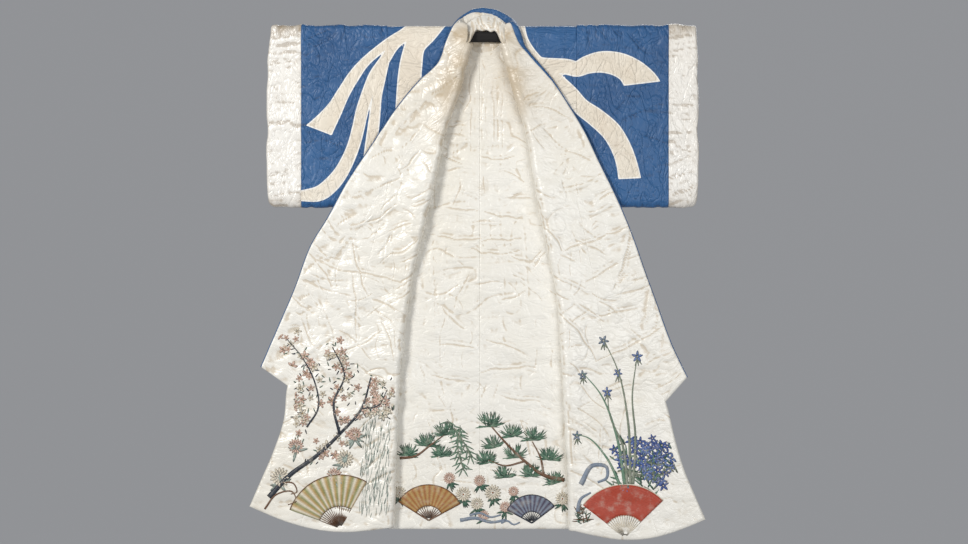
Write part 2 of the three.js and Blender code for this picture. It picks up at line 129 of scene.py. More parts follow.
def hollow(z):
    """Half the hollow between the back's lining and the front's, at a height."""
    upper = mix(HOLLOW["slat"], HOLLOW["sleeve"], ease(-np.asarray(z, float) / 140))
    return mix(upper, HOLLOW["skirt"], ease((SLEEVE_DROP - z) / (SLEEVE_DROP + 700)))


def silk_out(z):
    """The blue silk's distance from the middle, at a height."""
    return hollow(z) + WALL


def spline(values, knots, at):
    """A smooth curve through rows of values that belong to knots, read at other places."""
    values = np.asarray(values, float)
    knots = np.asarray(knots, float)
    steps = np.diff(knots)
    shape = (-1,) + (1,) * (values.ndim - 1)
    slopes = np.diff(values, axis=0) / steps.reshape(shape)
    tangents = np.empty_like(values)
    tangents[0], tangents[-1] = slopes[0], slopes[-1]
    before, after = steps[:-1].reshape(shape), steps[1:].reshape(shape)
    tangents[1:-1] = (slopes[:-1] * after + slopes[1:] * before) / (before + after)
    k = np.clip(np.searchsorted(knots, at, side="right") - 1, 0, len(knots) - 2)
    h = steps[k].reshape(shape)
    t = ((np.asarray(at) - knots[k]) / steps[k]).reshape(shape)
    return (values[k] * (2 * t**3 - 3 * t**2 + 1) + values[k + 1] * (3 * t**2 - 2 * t**3)
            + tangents[k] * h * (t**3 - 2 * t**2 + t) + tangents[k + 1] * h * (t**3 - t**2))


def along(points):
    """Length along rows of points from the first row, averaged over the columns."""
    steps = np.linalg.norm(np.diff(points, axis=0), axis=-1)
    return np.concatenate([[0.0], np.cumsum(steps.mean(axis=1))])


def lattice(ix, iz, seed):
    """A number from -1 to 1 for each lattice point, always the same one."""
    h = np.sin(ix * 127.1 + iz * 311.7 + seed * 74.7) * 43758.5453
    return 2 * (h - np.floor(h)) - 1


def soft_noise(x, z, size, seed):
    """Smooth noise from -1 to 1, with lumps of about the size given."""
    u, v = x / size, z / size
    iu, iv = np.floor(u), np.floor(v)
    fu, fv = u - iu, v - iv
    su, sv = fu**3 * (fu * (6 * fu - 15) + 10), fv**3 * (fv * (6 * fv - 15) + 10)
    low = mix(lattice(iu, iv, seed), lattice(iu + 1, iv, seed), su)
    high = mix(lattice(iu, iv + 1, seed), lattice(iu + 1, iv + 1, seed), su)
    return mix(low, high, sv)


def crumple(x, z, length, width, angle, seed):
    """Soft irregular ridges, long in one direction (degrees from +X), from about -1 to 1."""
    a = math.radians(angle)
    u = x * math.cos(a) + z * math.sin(a)
    v = -x * math.sin(a) + z * math.cos(a)
    warp = width * soft_noise(u, v, 2.2 * width, seed + 5)
    n = soft_noise((u + 0.4 * warp) / length * width, v + warp, width, seed)
    m = soft_noise((u - 0.3 * warp) / length * width, v + 1.7 * warp, 0.55 * width, seed + 9)
    return 0.9 - 2.2 * np.sqrt(np.abs(n) * 0.8 + 0.02) + 0.35 * m


def folds(x, z, marks):
    """Folds given one by one: x0, z0, x1, z1, width, height, bow. Each is a soft step of the wadding, high on one side
    and low on the other, with a crease as sharp as the cloth takes along its middle."""
    total = np.zeros_like(x)
    for x0, z0, x1, z1, width, height, bow in marks:
        reach = 4.5 * width + abs(bow)
        close = ((x > min(x0, x1) - reach) & (x < max(x0, x1) + reach)
                 & (z > min(z0, z1) - reach) & (z < max(z0, z1) + reach))
        if not close.any():
            continue
        u, v = x[close], z[close]
        dx, dz = x1 - x0, z1 - z0
        length = math.hypot(dx, dz)
        t = ((u - x0) * dx + (v - z0) * dz) / length**2
        inside = np.clip(t, 0, 1)
        wander = 0.5 * width * soft_noise(u, v, 4 * width, 17)
        off = ((u - x0) * -dz + (v - z0) * dx) / length - bow * 4 * inside * (1 - inside) + wander
        beyond = (t - inside) * length
        fade = np.sqrt(np.clip(np.sin(np.pi * np.clip((t * 0.9) + 0.05, 0, 1)), 0, 1))
        height_here = np.zeros_like(u)
        swell = width * (0.7 + 1.1 * np.sin(np.pi * np.clip(0.1 + 0.8 * inside, 0, 1)))
        height_here += 0.62 * off / swell * np.exp(-(off**2 + beyond**2) / swell**2)
        sharp = 1.5 + 0.11 * width
        height_here += 0.42 * (np.exp(-(off**2 + beyond**2) / sharp**2)
                               - 0.45 * np.exp(-((off - 1.8 * sharp)**2 + beyond**2) / (1.5 * sharp)**2))
        total[close] += height * fade * height_here
    return total


def creases(x, z, length, width, angle, seed, thin=2.6):
    """Fine long creases between the folds, about a width apart, each a thin groove with a raised side."""
    a = math.radians(angle)
    u = x * math.cos(a) + z * math.sin(a)
    v = -x * math.sin(a) + z * math.cos(a)
    warp = 0.5 * width * soft_noise(u, v, 1.9 * width, seed + 5)
    n = soft_noise((u + 0.3 * warp) / length * width, v + warp, width, seed)
    m = n * width / (2.1 * thin)
    there = ease(2.4 * soft_noise(u + 311, v - 97, 1.5 * width, seed + 7))
    return there * (0.55 * np.exp(-((m - 1.7) / 1.3)**2) - np.exp(-m**2))


def groove_depth(relief):
    """How deep each point of a relief lies below what is around it."""
    wide = np.pad(relief, 2, mode="edge")
    rows, columns = relief.shape
    around = [wide[2 + i:2 + i + rows, 2 + j:2 + j + columns] for i in (-2, 0, 2) for j in (-2, 0, 2) if i or j]
    return np.clip(np.mean(around, axis=0) - relief, 0, None)


def rounding(distance, radius):
    """How far a rounded edge falls back at a distance from it."""
    left = np.clip(radius - distance, 0, radius)
    return radius - np.sqrt(np.clip(radius**2 - left**2, 0, None))


# ---------------------------------------------------------------- the grids of the cloth

ROLL_TURNS = np.linspace(0, math.pi, 15)
ROUND_IN = np.array([0.0, 0.005, 0.014, 0.03, 0.055])      # shares of a width that draw an edge's round


def turned(sign, row, x, z):
    """The outer silk of a turned front: it faces backwards."""
    centre = row[FOLD_X] + WALL + ROLL
    settle = ease((x - centre) / ROLL_REACH)
    free = ease((x - HALF_WIDTH) / HALF_WIDTH) * ease((SLEEVE_DROP - 20 - z) / HALF_WIDTH)
    y = -silk_out(z) - mix(2 * ROLL, LYING, settle) + SLACK * free
    return np.stack([sign * x, y, z], axis=-1)


def shoulder_point(x, place, facing):
    k = min(int(place), 1)
    (a_out, a_z, a_lean), (b_out, b_z, b_lean) = SHOULDER[k], SHOULDER[k + 1]
    t = place - k
    lean = math.radians(mix(a_lean, b_lean, t))
    return (x, facing * mix(a_out, b_out, t), mix(a_z, b_z, t)), (0, -facing * math.cos(lean), -math.sin(lean))


def front_controls(side, under, turned_at, overlap_at):
    """The rows of a front as the source gives them, with as many columns as asked: points and ways to the lining.
    under: shares from the side seam to the roll, 1 to 0. turned_at, overlap_at: shares of each part."""
    sign = SIGNS[side]
    fold_at, turn_at, _ = NECKLINE[side]
    points, ways = [], []
    for i, row in enumerate(FRONTS[side]):
        centre = row[FOLD_X] + WALL + ROLL
        keys, key_points, key_ways = [1.0, 0.12, 0.05, 0.0], [], []
        if i < 3:
            fold_x, turn_x = max(fold_at, centre + 13), max(turn_at, centre + 5)
            for x, place in ((HALF_WIDTH, i), (fold_x, i), (turn_x, TURN_PLACES[i])):
                p, w = shoulder_point(sign * x, place, -1)
                key_points.append(p), key_ways.append(w)
        else:
            for f in keys[:3]:
                z = mix(row[FOLD_Z], row[SIDE], f)
                key_points.append((sign * mix(centre, HALF_WIDTH, f), -float(silk_out(z)), z))
                key_ways.append((0, 1, 0))
        out = float(silk_out(row[FOLD_Z]))
        key_points.append((sign * centre, -out, row[FOLD_Z]))
        key_ways.append((0, 1, 0))
        order = np.argsort(keys)
        read = lambda table: np.stack([np.interp(under, np.array(keys)[order], np.array(table)[order, c])
                                       for c in range(3)], axis=-1)
        line, way = [read(key_points)], [read(key_ways)]
        turn = ROLL_TURNS[1:]
        line.append(np.stack([sign * (centre - ROLL * np.sin(turn)), -out - ROLL + ROLL * np.cos(turn),
                              np.full_like(turn, row[FOLD_Z])], axis=-1))
        way.append(np.stack([-sign * np.sin(turn), np.cos(turn), np.zeros_like(turn)], axis=-1))
        inner = row[SEAM_X] - row[OVERLAP]
        x = np.concatenate([mix(centre, inner, turned_at), mix(inner, row[SEAM_X], overlap_at)])
        t = (x - centre) / (row[SEAM_X] - centre)
        z = mix(row[FOLD_Z], row[SEAM_Z], t) - row[SAG] * np.sin(np.pi * t)
        line.append(turned(sign, row, x, z))
        way.append(np.tile([0.0, -1.0, 0.0], (len(x), 1)))
        points.append(np.concatenate(line))
        ways.append(np.concatenate(way))
    return np.array(points), np.array(ways)


def back_controls(side, across_at):
    """The rows of half a back, columns from the centre seam (0) to the side seam (1)."""
    sign = SIGNS[side]
    fold_at, turn_at, neck = NECKLINE[side]
    centre = sign * CENTRE_BACK
    across = [centre] + [x for x, _ in neck] + [turn_at] + [mix(fold_at, HALF_WIDTH, k / 3) for k in range(4)]
    neck_edge = [BACK_NECK] + [z for _, z in neck]
    rows = []
    for row in range(3):
        line = []
        for j, x in enumerate(across):
            if j < 3:
                z = mix(neck_edge[j], BACK_LEVELS[0] - 20, row / 4)
                line.append(((sign * x, float(silk_out(z)), z), (0, -1, 0)))
            else:
                line.append(shoulder_point(sign * x, TURN_PLACES[row] if j == 3 else row, 1))
        rows.append(line)
    for row, level in enumerate(BACK_LEVELS):
        line = []
        for j, x in enumerate(across):
            z = level - 15 if j < 3 and row == 0 else level
            line.append(((sign * x, float(silk_out(z)), z), (0, -1, 0)))
        rows.append(line)
    table = np.array(rows, float)                       # rows, columns, (point, way), xyz
    share = (np.array(across) - centre) / (HALF_WIDTH - centre)
    fine = np.stack([[np.stack([np.interp(across_at, share, line[:, part, c]) for c in range(3)], axis=-1)
                      for line in table] for part in range(2)])
    return fine[0], fine[1]


NECK_PUFF = 9.0            # how much higher the wadding carries the collar behind the neck


def collar_controls(across):
    """The whole collar's stations from the right front's end round the neck to the left front's end.
    across: shares from the sewn edge (0) to the free edge (1), one row of them for every station."""
    points, ways = [], []

    def on_front(side, rows):
        sign = SIGNS[side]
        for row in rows:
            t = across[len(points)]
            points.append(turned(sign, row, mix(row[SEAM_X], row[EDGE_X], t), mix(row[SEAM_Z], row[EDGE_Z], t)))
            ways.append(np.tile([0.0, -1.0, 0.0], (len(t), 1)))

    def standing(sign, s):
        t = across[len(points)]
        turn, tip = math.radians(s[7]), math.radians(s[8])
        high = NECK_PUFF * ease((s[5] - 30) / 50) * ease(t)
        points.append(np.stack([sign * mix(s[0], s[3], t), mix(s[1], s[4], t),
                                mix(s[2], s[5], t) + 2 * t * (1 - t) * s[6] + high], axis=-1))
        ways.append(np.tile([-sign * math.sin(turn) * math.cos(tip), -math.cos(turn) * math.cos(tip),
                             math.sin(tip)], (len(t), 1)))

    def stations(side):
        sign = SIGNS[side]
        y, z, edge_y, edge_z = NECK_MIDDLE
        rows = [(sign * CENTRE_BACK, y, z, sign * (CENTRE_BACK + 8), edge_y, edge_z, 0, 0, 0), *NECK_SIDES[side]]
        out = []
        for i, row in enumerate(rows):
            out.append(row)
            if i + 1 < len(rows):
                a, b = np.array(row, float), np.array(rows[i + 1], float)
                before, after = np.array(rows[max(i - 1, 0)], float), np.array(rows[min(i + 2, len(rows) - 1)], float)
                half = (9 * (a + b) - before - after) / 16
                half[:3] = (a[:3] + b[:3]) / 2
                out.append(tuple(half))
        return out[1:]

    on_front("right", FRONTS["right"][COLLAR_END_ROW::-1])
    for s in reversed(stations("right")):
        standing(-1.0, s)
    y, z, edge_y, edge_z = NECK_MIDDLE
    standing(1.0, (CENTRE_BACK, y, z, CENTRE_BACK + 8, edge_y, edge_z, 0, 0, 0))
    for s in stations("left"):
        standing(1.0, s)
    on_front("left", FRONTS["left"][:COLLAR_END_ROW + 1])
    return np.array(points), np.array(ways)


def refine_rows(points, ways, step, crest=0, open_start=False, open_end=False, extra=None):
    """Rows closer together: step is the length between them. crest: how many columns pass level over the
    shoulder fold at the first row."""
    knots = along(points)
    count = max(int(knots[-1] / step), 4)
    at = np.linspace(0, knots[-1], count + 1)
    if open_start:
        at = np.concatenate([[0, 0.7, 2, 4.4], at[at > 7]])
    if open_end:
        at = np.concatenate([at[at < knots[-1] - 7], knots[-1] - np.array([4.4, 2, 0.7, 0])])
    if crest:
        ghost = points[1:2].copy()
        ghost[:, :crest, 1] *= -1
        ghost[:, crest:] = 2 * points[:1, crest:] - points[1:2, crest:]
        ghost_way = ways[1:2].copy()
        ghost_way[:, :crest, 1] *= -1
        ghost_way[:, crest:] = ways[:1, crest:]
        points = np.concatenate([ghost, points])
        ways = np.concatenate([ghost_way, ways])
        knots = np.concatenate([[-knots[1]], knots])
    fine, way = spline(points, knots, at), spline(ways, knots, at)
    way = way / np.linalg.norm(way, axis=-1, keepdims=True)
    return (fine, way) if extra is None else (fine, way, np.interp(at, knots, extra))


def edge_distances(points):
    """Distance of every point from the first and last row and the first and last column."""
    down = np.linalg.norm(np.diff(points, axis=0), axis=-1)
    from_start = np.concatenate([np.zeros((1, points.shape[1])), np.cumsum(down, axis=0)])
    sideways = np.linalg.norm(np.diff(points, axis=1), axis=-1)
    from_left = np.concatenate([np.zeros((points.shape[0], 1)), np.cumsum(sideways, axis=1)], axis=1)
    return from_start, from_start[-1] - from_start, from_left, from_left[:, -1:] - from_left


# ---------------------------------------------------------------- meshes


def finished(name, bm, material):
    """A smooth object of its own from a bmesh, at the origin."""
    mesh = bpy.data.meshes.new(name)
    bm.to_mesh(mesh)
    bm.free()
    mesh.materials.append(material)
    mesh.shade_smooth()
    piece = bpy.data.objects.new(name, mesh)
    bpy.context.scene.collection.objects.link(piece)
    return piece


def numbered_grid(bm, rows, columns, layer):
    """A grid of vertices that know their place: row * columns + column."""
    bmesh.ops.create_grid(bm, x_segments=columns - 1, y_segments=rows - 1, size=1.0)
    for v in bm.verts:
        i, j = round((v.co.y + 1) / 2 * (rows - 1)), round((v.co.x + 1) / 2 * (columns - 1))
        v[layer] = i * columns + j


def give_attributes(mesh, uv, values):
    """The piece's UV map in metres of cloth, and its named values, from the places of its vertices. The grid's
    values are given once and hold for both faces of the cloth."""
    count = uv.shape[0] * uv.shape[1]
    places = np.empty(len(mesh.vertices), np.int32)
    mesh.attributes["place"].data.foreach_get("value", places)
    corners = np.empty(len(mesh.loops), np.int32)
    mesh.loops.foreach_get("vertex_index", corners)
    layer = mesh.uv_layers.new(name="cloth")
    layer.data.foreach_set("uv", uv.reshape(-1, 2)[places[corners] % count].astype(np.float32).ravel())
    for name, value in values.items():
        attribute = mesh.attributes.new(name, "FLOAT", "POINT")
        attribute.data.foreach_set("value", value.reshape(-1)[places % count].astype(np.float32))
    mesh.attributes.remove(mesh.attributes["place"])


def place_vertices(bm, layer, spots):
    """Every vertex goes to the point of its place."""
    for v in bm.verts:
        v.co = spots[v[layer]]


def cloth_lengths(points):
    """Lengths across and along the cloth at every point, in metres, for its weave."""
    _, _, from_left, _ = edge_distances(points)
    down = along(points)
    return np.stack([from_left, np.tile(down[:, None], (1, points.shape[1]))], axis=-1) * MM


def grow_inside(bm, layer, count):
    """A second face of the cloth and its rims, whose vertices have the same places plus count."""
    grown = bmesh.ops.extrude_face_region(bm, geom=bm.faces[:], use_keep_orig=True)
    for v in grown["geom"]:
        if isinstance(v, bmesh.types.BMVert):
            v[layer] += count


def calm(grid, passes=12):
    """A grid of points without its creases, but with the same rims."""
    grid = grid.copy()
    for _ in range(passes):
        around = (grid[:-2, 1:-1] + grid[2:, 1:-1] + grid[1:-1, :-2] + grid[1:-1, 2:]) / 4
        grid[1:-1, 1:-1] = mix(grid[1:-1, 1:-1], around, 0.8)
    return grid


def thin_out(bm, layer, rows, columns, first, block=6):
    """Larger faces where a side of the cloth that nobody sees lies flat: blocks of small ones are joined."""
    joined = []
    for edge in bm.edges:
        places = [v[layer] - first for v in edge.verts]
        if min(places) < 0 or max(places) >= rows * columns or min(abs(v.normal.y) for v in edge.verts) < 0.9:
            continue
        (i, j), (k, m) = (divmod(place, columns) for place in places)
        if min(i, k, j, m) < 2 or max(i, k) > rows - 3 or max(j, m) > columns - 3:
            continue
        if (i == k and i % block) or (j == m and j % block):
            joined.append(edge)
    bmesh.ops.dissolve_edges(bm, edges=joined, use_verts=True)


def wall_piece(name, near, far, material, values, hidden=None):
    """A closed wall of cloth between two grids of points in millimetres. hidden: the side that nobody sees."""
    rows, columns = near.shape[:2]
    near, far = calm(near) if hidden == "near" else near, calm(far) if hidden == "far" else far
    bm = bmesh.new()
    layer = bm.verts.layers.int.new("place")
    numbered_grid(bm, rows, columns, layer)
    grow_inside(bm, layer, rows * columns)
    place_vertices(bm, layer, np.concatenate([near.reshape(-1, 3), far.reshape(-1, 3)]) * MM)
    bmesh.ops.recalc_face_normals(bm, faces=bm.faces[:])
    bm.normal_update()
    if hidden:
        thin_out(bm, layer, rows, columns, rows * columns if hidden == "far" else 0)
    piece = finished(name, bm, material)
    give_attributes(piece.data, cloth_lengths(near), values)
    return piece


def tube_piece(name, outer, inner, material, values):
    """A closed wall round a hollow: rows are stations, columns go round and end where they start."""
    rows, columns = outer.shape[:2]
    count = rows * columns
    bm = bmesh.new()
    layer = bm.verts.layers.int.new("place")
    numbered_grid(bm, rows, columns, layer)
    place_vertices(bm, layer, outer.reshape(-1, 3) * MM)
    bmesh.ops.remove_doubles(bm, verts=bm.verts[:], dist=1e-7)
    grow_inside(bm, layer, count)
    place_vertices(bm, layer, np.concatenate([outer.reshape(-1, 3), inner.reshape(-1, 3)]) * MM)
    bmesh.ops.recalc_face_normals(bm, faces=bm.faces[:])
    bm.normal_update()
    thin_out(bm, layer, rows, columns, count)
    piece = finished(name, bm, material)
    give_attributes(piece.data, cloth_lengths(outer), values)
    return piece


# ---------------------------------------------------------------- relief of the cloth

FOLD_RISE, SLEEVE_FOLD_RISE = 1.35, 1.25   # how much higher the folds stand than the tables say

# x0, z0, x1, z1, width, height, bow: folds of the lining that faces the viewer
FOLDS_FRONT = [
    (-295, -688, -203, -644, 7, -5, -14), (-288, -650, -263, -596, 6, -3, 4), (-409, -650, -360, -822, 9, -5, -8),
    (-548, -688, -450, -742, 7, -3.5, -6), (-456, -742, -250, -781, 7, -4, 5), (-539, -705, -477, -795, 8, -4, 10),
    (-463, -739, -463, -795, 6, -2.5, 0), (-609, -821, -539, -877, 7, -3.5, -5), (-409, -754, -401, -973, 8, -3, 4),
    (-391, -980, -319, -932, 7, -4, -4), (-391, -980, -456, -1002, 6, -3.5, 3), (-391, -980, -450, -932, 5, -3, -3),
    (-391, -980, -349, -1033, 6, -3, 3), (-319, -905, -278, -1029, 8, -4, 6), (-398, -1042, -298, -1090, 9, -4, -6),
    (-374, -1090, -285, -1129, 8, -3, -4), (-230, -850, -200, -932, 6, -4, 6), (-247, -932, -222, -1065, 7, -3, -5),
    (-210, -235, -276, -311, 8, -4, 0), (-73, -127, -209, -235, 8, -4.5, -5), (-200, -360, -254, -425, 8, -5, 6),
    (-193, -360, -143, -374, 5, -3, -4), (-227, -539, -162, -517, 7, -5, -8), (-276, -682, -323, -716, 7, -3, 0),
    (-298, -618, -222, -596, 8, -3.5, 5), (-368, -590, -266, -539, 12, 4, -8), (-349, -488, -254, -450, 10, -3, 6),
    (-434, -609, -349, -564, 12, 4.5, -10), (-482, -716, -412, -634, 12, 4, 10), (-349, -837, -276, -875, 12, -4, 8),
    (-520, -837, -482, -980, 14, 4, 10), (-577, -894, -520, -995, 12, -4, -8), (-434, -837, -380, -919, 13, 4, -8),
    (-577, -1002, -482, -1065, 13, 3.5, 8), (-266, -964, -247, -1154, 10, -4, 6), (-323, -1138, -254, -1249, 10, -3, 5),
    (-266, -1217, -260, -1487, 6, -3, 3), (-285, -1249, -292, -1471, 5, -2.5, -3), (-304, -1376, -298, -1547, 5, -3, 2),
    (-577, -1154, -482, -1233, 12, 3, 6), (-672, -1407, -577, -1487, 12, 3, 6), (-514, -1471, -387, -1509, 12, -3, -5),
    (-434, -1249, -349, -1312, 12, -3, 4), (-323, -552, -273, -507, 6, -3, 4), (-260, -716, -197, -685, 7, -3.5, -4),
    (-273, -805, -216, -773, 7, -3, 4), (-197, -393, -158, -441, 6, -3, 3), (-349, -387, -285, -361, 7, -3, 3),
    (-412, -507, -349, -476, 8, 3.5, -4), (-456, -596, -412, -571, 8, -3, 3), (-520, -716, -476, -697, 8, 3.5, 3),
    (-577, -837, -539, -812, 7, -3, 2), (-621, -932, -583, -919, 8, 3.5, 0), (-656, -1027, -602, -1002, 8, -3.5, 3),
    (-678, -1065, -628, -1078, 7, -3, 2), (190, -609, 255, -678, 8, -5, 10), (255, -678, 396, -628, 8, -5, -5),
    (396, -628, 469, -602, 7, -4, -3), (297, -650, 396, -693, 7, -3.5, 4), (466, -621, 431, -771, 8, -5, 6),
    (431, -785, 469, -751, 5, -3, 2), (431, -785, 456, -777, 4, -2.5, 0), (428, -780, 412, -805, 5, -3, 0),
    (354, -770, 425, -722, 8, -3, 4), (203, -805, 254, -891, 9, -4, -8), (254, -891, 361, -1026, 9, -5, 10),
    (346, -899, 495, -862, 7, -3.5, 4), (354, -1033, 580, -919, 8, -4, -8), (276, -1033, 314, -1078, 8, -3.5, 4),
    (374, -1138, 501, -1103, 9, -3, 4), (538, -786, 517, -941, 10, 4, -6), (131, -204, 178, -181, 6, -4.5, 4),
    (131, -204, 203, -174, 5, -3.5, -4), (136, -216, 158, -178, 5, -3, 0), (161, -223, 269, -257, 8, -3.5, 6),
    (152, -292, 200, -361, 7, -3, -5), (162, -456, 200, -590, 7, -4, -6), (171, -520, 209, -716, 6, -4, 8),
    (200, -716, 222, -837, 7, -4, -5), (235, -932, 247, -1090, 7, -3.5, 4), (247, -694, 295, -716, 7, -3, 3),
    (247, -773, 336, -812, 10, 3.5, 6), (295, -837, 374, -894, 12, 4, -6), (374, -837, 444, -894, 13, -3.5, 6),
    (463, -932, 533, -1002, 13, 4, 6), (266, -1154, 285, -1376, 7, -4, 4), (254, -1281, 266, -1534, 6, -3, -3),
    (298, -1217, 374, -1281, 12, 3, 6), (342, -1471, 501, -1509, 13, -3.5, -6), (501, -1376, 590, -1426, 12, 3, 4),
    (374, -520, 431, -488, 9, -3, 3), (247, -488, 361, -450, 12, 3.5, -6), (266, -361, 342, -393, 10, -3, 5),
    (327, -567, 412, -533, 10, 3.5, -6), (517, -1043, 602, -1002, 8, -3.5, 4), (548, -1122, 634, -1065, 7, -3, -3),
    (209, -76, 235, -114, 6, -3, 3), (235, -152, 266, -197, 6, -3, 0), (374, -1376, 393, -1217, 12, 3, 5),
    (437, -1281, 463, -1154, 10, -3, 5),
]

FOLDS_BACK_LINING = [
    (-90, -188, -57, -193, 6, -3, 2), (-57, -240, -35, -197, 6, -3, 3), (-107, -283, -51, -283, 6, -4, 2),
    (8, -124, 8, -330, 10, 2.5, 0), (-41, -108, -41, -361, 10, -2.5, 2), (60, -139, 60, -380, 12, 2.5, -2),
    (35, -155, 35, -361, 9, -2, 2), (-3, -379, 29, -390, 6, -4, 3), (29, -390, 101, -380, 6, -4, -2),
    (-128, -371, -63, -406, 7, -4, -3), (-108, -425, -57, -415, 6, -3, 2), (6, -444, 6, -495, 6, -3, 0),
    (73, -510, 162, -514, 7, -3.5, 0), (-128, -545, -13, -556, 7, -3.5, 4), (8, -556, 128, -577, 7, -3.5, -3),
    (-146, -633, -86, -644, 7, -4, 3), (-86, -644, -3, -640, 7, -4, -2), (-3, -650, 124, -644, 7, -4, 3),
    (-35, -674, -3, -688, 6, -4.5, 3), (-3, -688, 63, -690, 6, -5, 2), (63, -690, 117, -678, 6, -4, -2),
    (89, -697, 162, -726, 7, -3.5, 3), (-139, -678, -57, -729, 8, -3, 4), (-41, -748, -86, -834, 8, -3, 4),
    (165, -731, 203, -688, 6, -4.5, 3), (152, -716, 190, -678, 5, -3.5, -3), (-128, -856, -57, -928, 9, -4.5, -5),
    (-158, -637, -152, -891, 4, -2, 0), (133, -596, 149, -843, 4, -2, 0), (-38, -789, 57, -780, 9, -2.5, 3),
    (57, -837, 139, -805, 9, -3, -4), (-133, -980, -19, -995, 9, -3.5, 5), (13, -964, 120, -1002, 9, -3.5, 4),
    (-165, -1075, -38, -1097, 9, -3, -5), (-6, -1065, 171, -1052, 9, -3.5, 6), (-101, -1154, -95, -1312, 8, -3, 3),
    (57, -1138, 184, -1160, 10, -3, -5), (-171, -1217, -133, -1376, 9, -3, 4), (120, -1217, 158, -1376, 9, -3, 4),
    (-38, -1217, 57, -1243, 10, 2.5, 5), (-133, -1407, -25, -1426, 9, -3, 4), (25, -1376, 152, -1407, 9, -3, 4),
    (-86, -488, -13, -514, 10, 2.5, 4), (73, -425, 133, -463, 8, -3, 4), (89, -314, 139, -336, 7, -3, 3),
    (-70, -472, -95, -536, 7, -3, 3), (-38, -599, 57, -590, 12, 3, 0), (-114, -330, -38, -336, 10, 2.5, 0),
    (-197, -1503, -101, -1471, 8, -3, 3), (57, -1487, 200, -1465, 9, -3, 3), (-114, -758, -70, -742, 9, 2.5, 0),
    (95, -758, 139, -777, 8, -3, 3),
]

FOLDS_SLEEVES = [
    (-571, -19, -466, 25, 6, -4, 4), (-571, -44, -472, -6, 6, -4, -4), (-567, -67, -488, -29, 6, -3.5, 3),
    (-498, -76, -523, -51, 5, -3, 0), (-466, -67, -418, -82, 5, -3, 2), (-567, -336, -507, -327, 6, -4, -3),
    (-507, -327, -444, -361, 7, -4.5, 4), (-590, -288, -533, -282, 5, -4, 2), (-434, 38, -444, -13, 7, -3.5, 3),
    (-333, 38, -317, -19, 6, -4, 2), (-304, 38, -292, -6, 5, -3.5, -2), (-482, -139, -412, -114, 9, 2.5, 3),
    (-539, -203, -482, -190, 8, -2.5, 3), (-514, -393, -434, -412, 9, -2.5, 3), (-545, -444, -450, -463, 8, -3, 4),
    (-387, -76, -323, -51, 8, 2.5, 0), (-418, -235, -380, -298, 8, 2.5, 4), (456, -193, 409, -249, 6, -4.5, 3),
    (456, -193, 501, -193, 5, -4, 2), (571, -212, 501, -238, 6, -4.5, 3), (501, -238, 441, -273, 6, -4, -3),
    (596, -238, 517, -235, 6, -4, -3), (406, 29, 447, -6, 6, -4.5, -3), (463, 10, 526, -60, 7, -5, -4),
    (526, -60, 552, -54, 5, -3, 0), (355, 35, 393, -16, 6, -4, 3), (298, 35, 288, -146, 5, -4, 3),
    (247, 25, 282, -114, 6, -4, -3), (266, 32, 266, -76, 5, -3, 0), (501, -314, 586, -339, 6, -3.5, 3),
    (517, -393, 571, -387, 6, -3, 2), (453, -361, 501, -393, 8, 2.5, 3), (463, -203, 476, -314, 7, -3, 4),
    (501, -171, 577, -152, 7, -3, 3), (374, -393, 422, -488, 8, -3, 4), (425, -504, 533, -488, 8, -3, 3),
    (327, -171, 374, -203, 8, 2.5, 0), (374, -19, 476, -32, 9, 2.5, 5), (330, 19, 336, -44, 6, -3.5, 2),
    (533, -76, 583, -108, 6, -3, 3), (-691, -13, -580, 0, 5, -4, 2), (-691, -35, -577, -25, 5, -3.5, -2),
    (-688, -57, -583, -54, 5, -4, 2), (-688, -95, -602, -82, 5, -3, 2), (-682, -276, -586, -288, 5, -4, 3),
    (-678, -288, -609, -269, 5, -3.5, 0), (-672, -507, -583, -495, 6, -3.5, 3), (-672, -441, -615, -450, 7, -3, 2),
    (586, -13, 672, 6, 5, -4, -2), (596, -51, 659, -38, 6, -3, 2), (602, -235, 672, -222, 6, -3, 2),
    (590, -311, 659, -307, 5, -3.5, 2), (590, -456, 672, -431, 7, -3.5, 4), (602, -507, 672, -476, 6, -4, -3),
    (659, -507, 685, -463, 5, -3, 0), (609, -361, 666, -368, 7, -2.5, 2),
]

